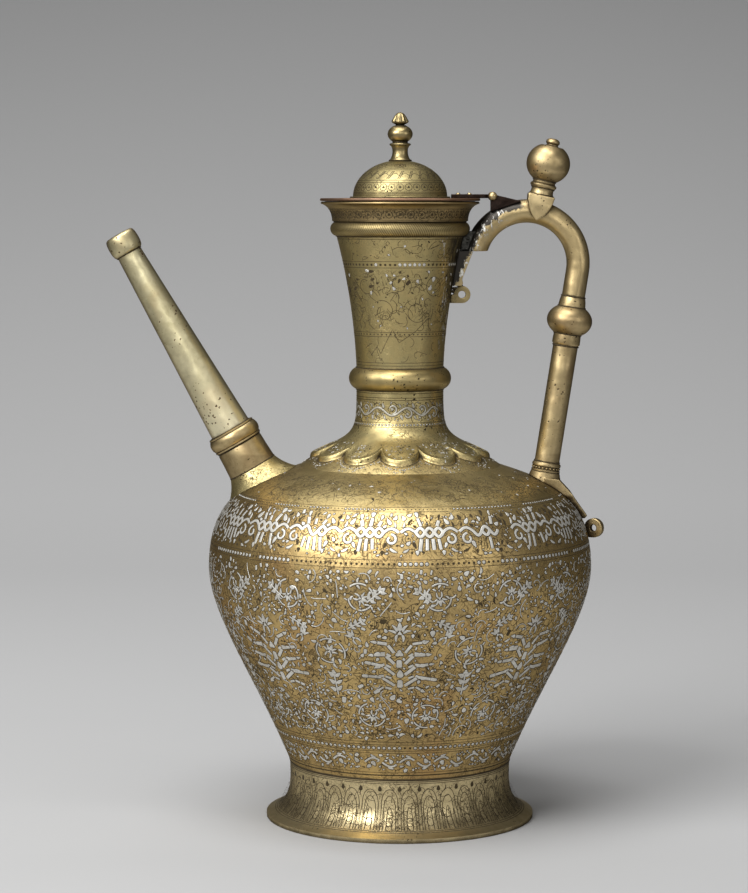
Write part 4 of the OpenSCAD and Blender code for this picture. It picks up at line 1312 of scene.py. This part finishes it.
def medallion(work, turn, s, reach):
    """A tree: a broken stem of slabs, paired branches that rise and bend outwards, and a palmette on top."""
    for k, shape in enumerate(("slab", "drop", "slab", "bud")):
        place = work.off(turn, s, work.chance.uniform(-0.3, 0.3), -reach * 0.56 + k * reach * 0.24)
        work.plate(*place, shape, reach * 0.19, pi / 2)
    for side in (-1, 1):
        for k in range(4):
            low = -reach * 0.60 + k * reach * 0.26
            heading = pi / 2 - side * (0.95 - 0.12 * k)
            long, short = reach * (0.66 - 0.07 * k), reach * (0.30 - 0.03 * k)
            branch(work, turn, s, side * 2.8, low, long, heading, -side, 1.7)
            branch(work, turn, s, side * 4.6, low - 2.2, short, heading - side * 0.35, -side, 1.3)
        crest = work.off(turn, s, side * reach * 0.86, reach * 0.50)
        palmette(work, *crest, reach * 0.20, pi / 2 - side * 0.7, 3)
        beside = work.off(turn, s, side * reach * 0.82, -reach * 0.40)
        work.bare(*beside, "wing", reach * 0.32, pi / 2 - side * 0.9)
        beside = work.off(turn, s, side * reach * 0.98, reach * 0.06)
        work.bare(*beside, "leaf", reach * 0.26, pi / 2 - side * 0.4)
    palmette(work, turn, s + reach * 0.62, reach * 0.25, pi / 2, 5, 0.62)


def roundel(work, turn, s, reach):
    """One winding stem with a palmette at its heart."""
    direction = work.chance.choice([-1, 1])
    path = work.spiral(turn, s, reach, work.chance.uniform(0, TURN), direction, 0.9, 24, 0.74)
    leafy_stem(work, path, 0.8, reach * 0.36, 6, 5)
    palmette(work, turn, s, reach * 0.56, work.chance.uniform(0, TURN), 5, 0.6)


def sprig(work, turn, s, reach, heading):
    """A straight stem with paired leaves and a bud at the tip."""
    lengths = [reach * t / 6 for t in range(-3, 4)]
    path = [work.off(turn, s, length * cos(heading), length * sin(heading)) for length in lengths]
    work.wire(path, 0.8)
    for k in (1, 3, 5):
        for side, shape in ((-1, "leaf"), (1, "wing")):
            tilt = heading + side * work.chance.uniform(0.7, 1.0)
            work.put(*path[k], reach * 0.17 + 0.5, tilt, shape, reach * 0.32, tilt)
    work.put(*path[-1], 1.0, heading, "bud", reach * 0.26, heading)


SMALL_CHIPS = ["chip", "seed", "shard", "dash", "chip", "seed"]


def scatter(work, low, high, tries, smallest, largest, gap, lost_share=0.05, shapes=SMALL_CHIPS):
    """Small plates strewn between the larger ones, closest where there is room."""
    chance = work.chance
    for _ in range(tries):
        s = chance.uniform(low, high)
        turn = chance.uniform(0, TURN)
        size = smallest + (largest - smallest) * chance.random() ** 1.4
        drift = sin(11 * turn + 0.16 * s + 1.7 * sin(0.09 * s)) * sin(0.19 * s - 7 * turn)
        drift += 0.6 * sin(23 * turn - 0.31 * s)
        if chance.random() < 0.62 + 0.5 * drift and work.is_free(turn, s, size * 0.8, gap):
            shape = chance.choice(shapes)
            work.plate(turn, s, shape, size, chance.uniform(0, TURN), chance.random() < lost_share)


def tendrils(work, low, high, count, length, width, silver=False):
    """Loose curling hair lines."""
    chance = work.chance
    for _ in range(count):
        turn, s = chance.uniform(0, TURN), chance.uniform(low, high)
        heading, bow = chance.uniform(0, TURN), chance.uniform(-0.5, 0.5)
        step = length * chance.uniform(0.6, 1.3) / 8
        path = [(turn, s)]
        for _ in range(8):
            heading += bow
            bow += chance.uniform(-0.12, 0.12)
            turn, s = work.off(turn, s, step * cos(heading), step * sin(heading))
            path.append((turn, s))
        if min(p[1] for p in path) < low - 1 or max(p[1] for p in path) > high + 1:
            continue
        if not silver:
            work.line(path, width)
        elif all(work.is_free(*p, 0.4, 0.2) for p in path):
            work.wire(path, width, 0.15)


def waving_stem(waves, steps, middle, rise):
    """The path of a stem that waves round the whole piece."""
    count = waves * steps
    return [(TURN * i / count, middle + rise * sin(TURN * i / steps)) for i in range(count + 1)]


def stroke(work, turn, middle, points, width, lost_share):
    """One stroke of the band through (across, up) points."""
    work.worn_wire([work.off(turn, middle, x, y) for x, y in points], width, lost_share)


def plaited_band(work, low, high, units):
    """Short plaits between curling stems, with leaf-tipped staves above and short strokes below."""
    chance = work.chance
    middle = low + (high - low) * 0.50
    half = TURN * work.wall.radius(middle) / units / 2
    pitch = 4.7
    plait_end = 1.5 * pitch
    top, floor = high - middle, middle - low
    for unit in range(units):
        turn = TURN * (unit + 0.5) / units
        faded = 0.55 if chance.random() < 0.22 else 0.10
        for strand in (-1, 1):
            for k in range(3):
                part = [k + i / 8 for i in range(9)]
                plait = [((t - 1.5) * pitch, strand * 2.4 * sin(pi * t) + 0.4) for t in part]
                stroke(work, turn, middle, plait, 1.6, faded)
        for k in (-1, 0, 1):
            lean = k * 0.24 + chance.uniform(-0.1, 0.1)
            rise = (top - 5.2) * chance.uniform(0.72, 1.0)
            stave = [(k * 4.2 + t / 3 * rise * sin(lean), 3.9 + t / 3 * (rise - 2.4)) for t in range(4)]
            stroke(work, turn, middle, stave, chance.uniform(1.4, 1.9), faded + 0.15)
            tip = work.off(turn, middle, stave[-1][0] + 1.4 * sin(lean), stave[-1][1] + 2.3)
            shape, size = chance.choice(["leaf", "drop", "petal"]), chance.uniform(2.8, 4.0)
            work.plate(*tip, shape, size, -pi / 2 - lean, chance.random() < faded + 0.15)
        for k in (-1.5, -0.5, 0.5, 1.5):
            fall = (floor - 5.4) * chance.uniform(0.75, 1.0)
            root = [(k * 2.9 + t / 3 * fall * 0.10 * k, -3.2 - t / 3 * fall) for t in range(4)]
            stroke(work, turn, middle, root, chance.uniform(1.5, 1.9), faded + 0.10)
        for side in (-1, 1):
            run = side * (half - 0.5) - side * plait_end
            stem = [(side * plait_end + run * t / 8, 0.4 + 2.2 * sin(pi * t / 8)) for t in range(9)]
            stroke(work, turn, middle, stem, 1.5, faded + 0.1)
            heart = work.off(turn, middle, side * (half - 4.4), -3.4)
            work.worn_wire(work.spiral(*heart, 2.9, pi / 2, -side, 0.9, 14, 0.45), 1.2, faded + 0.15)
            for x, y, shape, size, tilt in (
                (half - 5.6, 6.6, "leaf", 4.4, pi / 2 + side * 0.5),
                (half - 2.0, 9.2, "wing", 3.4, pi / 2 - side * 0.4),
                (half - 7.6, 3.9, "drop", 2.6, pi / 2 - side * 0.9),
                (half - 2.3, 4.9, "petal", 3.6, pi / 2 + side * 0.2),
                (half - 7.4, -6.6, "leaf", 3.6, -pi / 2 - side * 0.4),
                (half - 3.2, -9.4, "petal", 4.0, -side * 0.5),
                (half - 8.6, -10.4, "drop", 2.6, -pi / 2),
                (half - 1.2, -6.6, "chip", 2.0, 0.4),
            ):
                place = work.off(turn, middle, side * x, y)
                size *= chance.uniform(0.85, 1.15)
                work.plate(*place, shape, size, tilt, chance.random() < faded + 0.15)


# Places of the bands on the body, as lengths along its outline from the waist

LOWER_BAND = (6.0, 16.2)
MAIN_FIELD = (26.0, 124.0)
SHOULDER_BAND = (132.2, 157.0)


def decorate_shoulder(chance):
    work = Ornament(body_wall, chance)
    for s, size, pitch, lost in ((128.5, 1.75, 2.75, 0.42), (20.2, 1.6, 2.7, 0.15), (159.3, 1.0, 2.0, 0.3)):
        work.beads(s, size, pitch, lost)
    work.rings((130.7, 126.5, 157.6, 160.9, 22.2, 18.3, 4.6, 16.9, 24.0), 0.26)
    work.ring(2.9, 0.7)
    plaited_band(work, *SHOULDER_BAND, 20)
    scatter(work, 133.0, 156.0, 1500, 2.0, 3.4, 0.35, 0.15, ["drop", "slab", "wing", "leaf", "comma"])
    scatter(work, 132.5, 156.4, 5200, 0.8, 2.2, 0.3, 0.3)
    tendrils(work, 133.0, 156.0, 900, 4.5, 0.3)
    work.make("shoulder_band")


def decorate_main_field(chance):
    work = Ornament(body_wall, chance)
    trees = 8
    for k in range(trees):
        tree = TURN * k / trees
        between = TURN * (k + 0.5) / trees
        medallion(work, tree, 76.0, 26.0)
        roundel(work, between, 80.0, 8.6)
        sprig(work, between, 60.0, 13.0, pi / 2)
        for side in (-1, 1):
            roundel(work, between + side * TURN * 0.034, 41.0, 7.8)
            roundel(work, between + side * TURN * 0.031, 111.0, 7.8)
            sprig(work, tree + side * TURN * 0.02, 112.0, 10.0, pi / 2 + side * 0.9)
            sprig(work, between + side * TURN * 0.026, 96.5, 9.0, side * 0.5)
    low, high = MAIN_FIELD
    tendrils(work, low + 1, high, 800, 9.0, 0.45, True)
    broad = ["wing", "drop", "slab", "curl", "petal", "comma", "leaf"]
    scatter(work, low, high + 0.8, 4600, 2.2, 4.0, 0.9, 0.06, broad)
    small = ["chip", "slab", "dash", "shard", "bar", "wing", "drop"]
    scatter(work, low, high + 0.8, 21000, 1.1, 2.6, 0.5, 0.08, small)
    tendrils(work, low, high, 4200, 6.0, 0.30)
    work.make("main_field")


def decorate_lower_band(chance):
    work = Ornament(body_wall, chance)
    waves = 22
    middle = 11.1
    stem = waving_stem(waves, 12, middle, 2.7)
    for i in range(0, len(stem) - 1, 6):
        if chance.random() < 0.85:
            work.wire(stem[i:i + 6], 1.1)
    for k in range(waves * 2):
        side = 1 if k % 2 else -1
        turn = TURN * (k + 0.5) / (waves * 2)
        shape = chance.choice(["leaf", "drop", "wing"])
        work.put(turn, middle, 0.9, side * pi / 2, shape, 3.4, side * pi / 2 + 0.5)
        shape = chance.choice(["petal", "curl", "leaf"])
        work.plate(turn, middle - side * 3.6, shape, 3.2, chance.uniform(-0.6, 0.6))
    scatter(work, *LOWER_BAND, 2600, 1.2, 3.4, 0.35)
    tendrils(work, 6.0, 16.0, 240, 4.0, 0.26)
    work.make("lower_band")


def decorate_body():
    chance = random.Random(7)
    decorate_shoulder(chance)
    decorate_main_field(chance)
    decorate_lower_band(chance)
    work = Ornament(body_wall, chance, 0.15)
    scatter(work, 163.0, 188.0, 170, 0.8, 2.4, 1.6, 0.4, ["leaf", "wing", "chip", "seed"])
    tendrils(work, 162.5, 188.0, 1100, 7.0, 0.2)
    work.make("shoulder_scrolls")


def decorate_neck(chance):
    work = Ornament(neck_wall, chance, 0.16)
    level = neck_wall.level
    work.rings([level(height) for height in (297.6, 300.9, 261.2, 263.4, 245.6, 247.2, 312.6)], 0.24)
    work.beads(level(299.2), 1.7, 2.6, 0.9)
    work.beads(level(262.3), 1.1, 2.4, 0.9)
    low, high, top = level(265.0), level(296.0), neck_wall.length
    for k in range(9):
        for row, height in enumerate((288.5, 274.5)):
            turn = TURN * (k + 0.5 * row) / 9
            start, direction = chance.uniform(0, TURN), chance.choice([-1, 1])
            work.line(work.spiral(turn, level(height), 6.4, start, direction, 1.1, 30, 0.4), 0.26)
    scatter(work, level(284.0), high, 200, 1.4, 3.8, 0.9, 0.45, ["leaf", "wing", "drop", "slab"])
    scatter(work, low, level(283.0), 90, 0.9, 1.9, 1.8, 0.4)
    scatter(work, level(303.0), top - 2, 60, 0.9, 2.2, 2.4, 0.6)
    tendrils(work, low, high, 330, 6.5, 0.24)
    tendrils(work, level(302.0), top - 1, 90, 5.0, 0.22)
    tendrils(work, 3.0, low, 60, 5.0, 0.22)
    scratch = [(-0.70, 251), (-0.52, 256), (-0.44, 252), (-0.16, 265), (-0.02, 258), (0.34, 264),
               (0.62, 271), (0.67, 263)]
    path = []
    for (turn, height), (next_turn, next_height) in zip(scratch, scratch[1:]):
        for t in range(8):
            path.append((turn + (next_turn - turn) * t / 8, level(height + (next_height - height) * t / 8)))
    work.line(path, 0.3)
    work.make("neck")


def decorate_collar(chance):
    work = Ornament(collar_wall, chance, 0.24)
    level = collar_wall.level
    middle = level(221.4)
    waves = 9
    stem = waving_stem(waves, 16, middle, 2.1)
    for i in range(0, len(stem) - 1, 8):
        work.worn_wire(stem[i:i + 9], 0.95, 0.2, 0.9)
    for k in range(waves * 2):
        side = 1 if k % 2 else -1
        up = pi / 2 * side
        turn = TURN * (k + 0.5) / (waves * 2)
        heart = middle + side * 1.3
        work.worn_wire(work.spiral(turn, heart, 2.7, -up, side, 0.7, 16, 0.5), 0.8, 0.3)
        work.plate(turn, heart, "bud", 1.9, 0)
        turn = TURN * k / (waves * 2)
        work.put(turn, middle, 3.3, up + 0.3, "leaf", 2.8, up + 0.3)
        work.put(turn, middle, 3.3, -up, "curl", 2.4, -up + 0.5)
    scatter(work, middle - 4.9, middle + 5.0, 700, 0.8, 1.7, 0.3, 0.2)
    tendrils(work, middle - 5.0, middle + 5.0, 160, 3.0, 0.3)
    work.rings([level(height) for height in (227.4, 228.6, 230.9)], 0.28)
    bead_line = level(214.3)
    work.beads(bead_line, 1.0, 1.9, 0.2)
    work.rings((bead_line - 1.2, bead_line + 1.2), 0.26)
    work.make("collar_band", silver=dull_silver_finish)


def decorate_foot():
    """Engraved arcade and strapwork round the flare."""
    work = Ornament(foot_wall, random.Random(17))
    arches = 36
    low, high = foot_wall.level(5.6), foot_wall.level(28.4)
    rise = high - low
    step = TURN / arches
    for k in range(arches):
        turn = step * k
        for inset, top in ((0.08, 0.90), (0.20, 0.76), (0.36, 0.52)):
            angles = [pi * i / 8 for i in range(9)]
            crown = [
                (turn + step * (0.5 - (0.5 - inset) * cos(a)), low + rise * (top - 0.3 + 0.3 * sin(a)))
                for a in angles
            ]
            work.line([(crown[0][0], low)] + crown + [(crown[-1][0], low)], 0.36)
        work.nick(turn, high - 2.2, "drop", 3.0)
        angles = [TURN * i / 10 for i in range(11)]
        knot = [(turn + step * (0.5 + 0.16 * cos(a)), low + rise * (0.2 + 0.1 * sin(a))) for a in angles]
        work.line(knot, 0.36)
    tendrils(work, low, high, 900, 4.0, 0.26)
    work.rings((low - 0.7, low - 1.9, high + 0.5, high + 1.4, high + 2.2))
    work.make("foot_engraving")


def decorate_dome(chance):
    """Rings of engraving: loops below, waves at the middle and double loops near the top."""
    work = Ornament(dome_wall, chance)
    low_row, middle_row, top_row = 4.9, 12.8, 21.0
    work.rings((1.4, 2.2, 7.6, 9.0, 16.6, 17.6), 0.26, 120)
    for k in range(34):
        work.loop(TURN * k / 34, low_row, 1.9, 12, 0.28)
        work.nick(TURN * k / 34, low_row, "bud", 1.7)
    waves = 24
    for k in range(waves):
        turn = TURN * k / waves
        for shift in (0.0, 0.9):
            part = [t / 8 - 0.5 for t in range(9)]
            work.line([work.off(turn, middle_row, 2.9 * t + shift, 2.7 * sin(pi * t)) for t in part], 0.4)
        crossing = [(turn + TURN / waves * (t / 6 - 0.5), middle_row + cos(pi * t / 3)) for t in range(7)]
        work.line(crossing, 0.3)
    for k in range(8):
        for reach in (2.9, 1.9):
            work.loop(TURN * k / 8, top_row, reach, 14, 0.26, 0.85)
        work.nick(TURN * k / 8, top_row, "bud", 1.6)
    tendrils(work, 2.4, 24.0, 160, 2.6, 0.2)
    work.make("dome_engraving", "lid")


def decorate_rim(chance):
    work = Ornament(rim_wall, chance)
    loops = 40
    middle = 3.6
    for k in range(loops):
        turn = TURN * k / loops
        between = turn + TURN / loops / 2
        work.loop(turn, middle, 1.9, 12, 0.3)
        work.nick(turn, middle, "bud", 2.0)
        work.nick(between, middle + 1.6, "drop", 1.2)
        work.nick(between, middle - 1.6, "drop", 1.2, -pi / 2)
    tendrils(work, 0.9, 6.6, 420, 2.4, 0.22)
    work.rings((0.6, 6.8), 0.26)
    work.make("rim_engraving")


class Apron:
    """The collar's lobed apron and its skirt as a place for ornament; s is the radius."""

    def radius(self, s):
        return s

    def point(self, turn, s, lift):
        off = petal_angle(turn)
        level = petal_level(s, off) if s < collar_edge(off) else skirt_level(s)
        return (s * sin(turn), -s * cos(turn), level + lift)


def decorate_apron():
    """A dark seam under the petals, a line of beads round them and worn flecks on top."""
    chance = random.Random(5)
    work = Ornament(Apron(), chance, 0.16)
    angles = [TURN * i / 480 for i in range(481)]
    for gap, width in ((0.55, 0.5), (1.3, 0.24)):
        work.line([(turn, collar_edge(petal_angle(turn)) + gap) for turn in angles], width)
    beads = 210
    for i in range(beads):
        turn = TURN * i / beads
        reach = collar_edge(petal_angle(turn)) + 2.9
        if reach > 44.5:
            work.plate(turn, reach, "dot", 0.75, 0, chance.random() < 0.5)
    for k in range(LOBES):
        for _ in range(46):
            off = chance.gauss(0, 0.085)
            reach = chance.uniform(33.0, 45.5)
            turn = TURN * k / LOBES + off
            if petal_depth(reach, off) > 2.4 and work.is_free(turn, reach, 0.8, 0.2):
                work.plate(turn, reach, chance.choice(["chip", "seed", "dash"]), chance.uniform(0.7, 1.7),
                           chance.uniform(0, TURN), chance.random() < 0.5)
    for _ in range(420):
        turn = chance.uniform(0, TURN)
        reach = collar_edge(petal_angle(turn)) + chance.uniform(0.9, 6.0)
        if reach < SKIRT_END - 1.5:
            size = chance.uniform(0.4, 1.0)
            work.plate(turn, reach, "chip", size, chance.uniform(0, TURN), chance.random() < 0.7)
    work.make("apron_worn_inlay")


make_body()
make_foot()
make_collar()
make_neck()
make_lid()
make_handle()
make_spout()
make_castings()
make_handle_beads()
make_joint_dirt()
decorate_body()
neck_chance = random.Random(11)
decorate_neck(neck_chance)
decorate_collar(neck_chance)
decorate_foot()
lid_chance = random.Random(19)
decorate_dome(lid_chance)
decorate_rim(lid_chance)
decorate_apron()


# Floor, light and camera

def make_backdrop():
    """A floor that sweeps up into a wall, with painted light: lighter further back on the floor, and painted
    shade darker towards the top.
    """
    radius, bend_at, top = 1.5, 1.0, 2.6
    line = [(-0.85, 0.0), (0.0, 0.0), (bend_at, 0.0)]
    angles = [radians(6 * i) for i in range(1, 16)]
    line += [(bend_at + radius * sin(a), radius - radius * cos(a)) for a in angles]
    line += [(bend_at + radius, radius + top)]

    def lay(column, row):
        y, z = line[row]
        return ((column - 1) * 640, y * 1000, z * 1000)

    sweep = skin("backdrop", 2, len(line) - 1, lay)
    take(sweep)
    bpy.ops.object.shade_smooth()
    paint = bpy.data.materials.new("backdrop_paint")
    paint.use_nodes = True
    board = Board(paint.node_tree)
    shader = paint.node_tree.nodes["Principled BSDF"].inputs
    shader["Roughness"].default_value = 0.9
    shader["Specular IOR Level"].default_value = 0.0
    place = board.axes(board.node("ShaderNodeTexCoord").outputs["Object"])
    # Painted light: the floor is lighter further back, against the lamps' fall-off, and the wall has painted
    # shade towards the top.
    depth = board.ramp(place["Y"], -0.1, 1.3)
    height = board.ramp(place["Z"], 0.0, 0.9)
    colour = board.mix(depth, rgb(0.398, 0.398, 0.398), rgb(0.512, 0.512, 0.512))
    colour = board.mix(height, colour, rgb(0.192, 0.192, 0.192))
    board.feed(shader["Base Color"], colour)
    sweep.data.materials.clear()
    sweep.data.materials.append(paint)


def add_lamp(name, place, aim, size, power):
    lamp = bpy.data.lights.new(name, "AREA")
    lamp.shape = "RECTANGLE"
    lamp.size, lamp.size_y = size
    lamp.energy = power
    holder = bpy.data.objects.new(name, lamp)
    bpy.context.scene.collection.objects.link(holder)
    holder.location = place
    holder.rotation_euler = (Vector(aim) - Vector(place)).to_track_quat("-Z", "Y").to_euler()


MIDDLE = (0, 0, 0.2)

make_backdrop()
add_lamp("key_lamp", (-1.05, -1.15, 1.25), MIDDLE, (1.1, 1.0), 38)
add_lamp("top_lamp", (-0.15, -0.40, 1.75), MIDDLE, (1.1, 0.8), 20)
add_lamp("fill_lamp", (1.4, -1.2, 0.7), MIDDLE, (0.6, 1.0), 4.6)
add_lamp("front_lamp", (0.2, -2.3, 0.95), MIDDLE, (1.3, 0.8), 9)
add_lamp("wall_lamp", (-0.25, 1.2, 2.6), (-0.25, 2.2, 0.4), (2.0, 0.8), 22)

world = bpy.data.worlds.new("studio")
bpy.context.scene.world = world
world.use_nodes = True
world.node_tree.nodes["Background"].inputs["Color"].default_value = rgb(0.09, 0.09, 0.09)
world.node_tree.nodes["Background"].inputs["Strength"].default_value = 1.0

FOCAL_PIXELS = 2750
PHOTO_HEIGHT = 893
SENSOR = 36
AIM_BESIDE = 26
camera_data = bpy.data.cameras.new("photo_camera")
camera = bpy.data.objects.new("photo_camera", camera_data)
bpy.context.scene.collection.objects.link(camera)
camera_data.sensor_fit = "VERTICAL"
camera_data.sensor_height = SENSOR
camera_data.lens = FOCAL_PIXELS / PHOTO_HEIGHT * SENSOR
camera_data.clip_end = 50
camera.location = (0, -1.4766, 0.3306)
camera.rotation_euler = (radians(90 - 5.02), 0, atan(AIM_BESIDE / FOCAL_PIXELS))
bpy.context.scene.camera = camera
bpy.context.scene.view_settings.view_transform = "Standard"
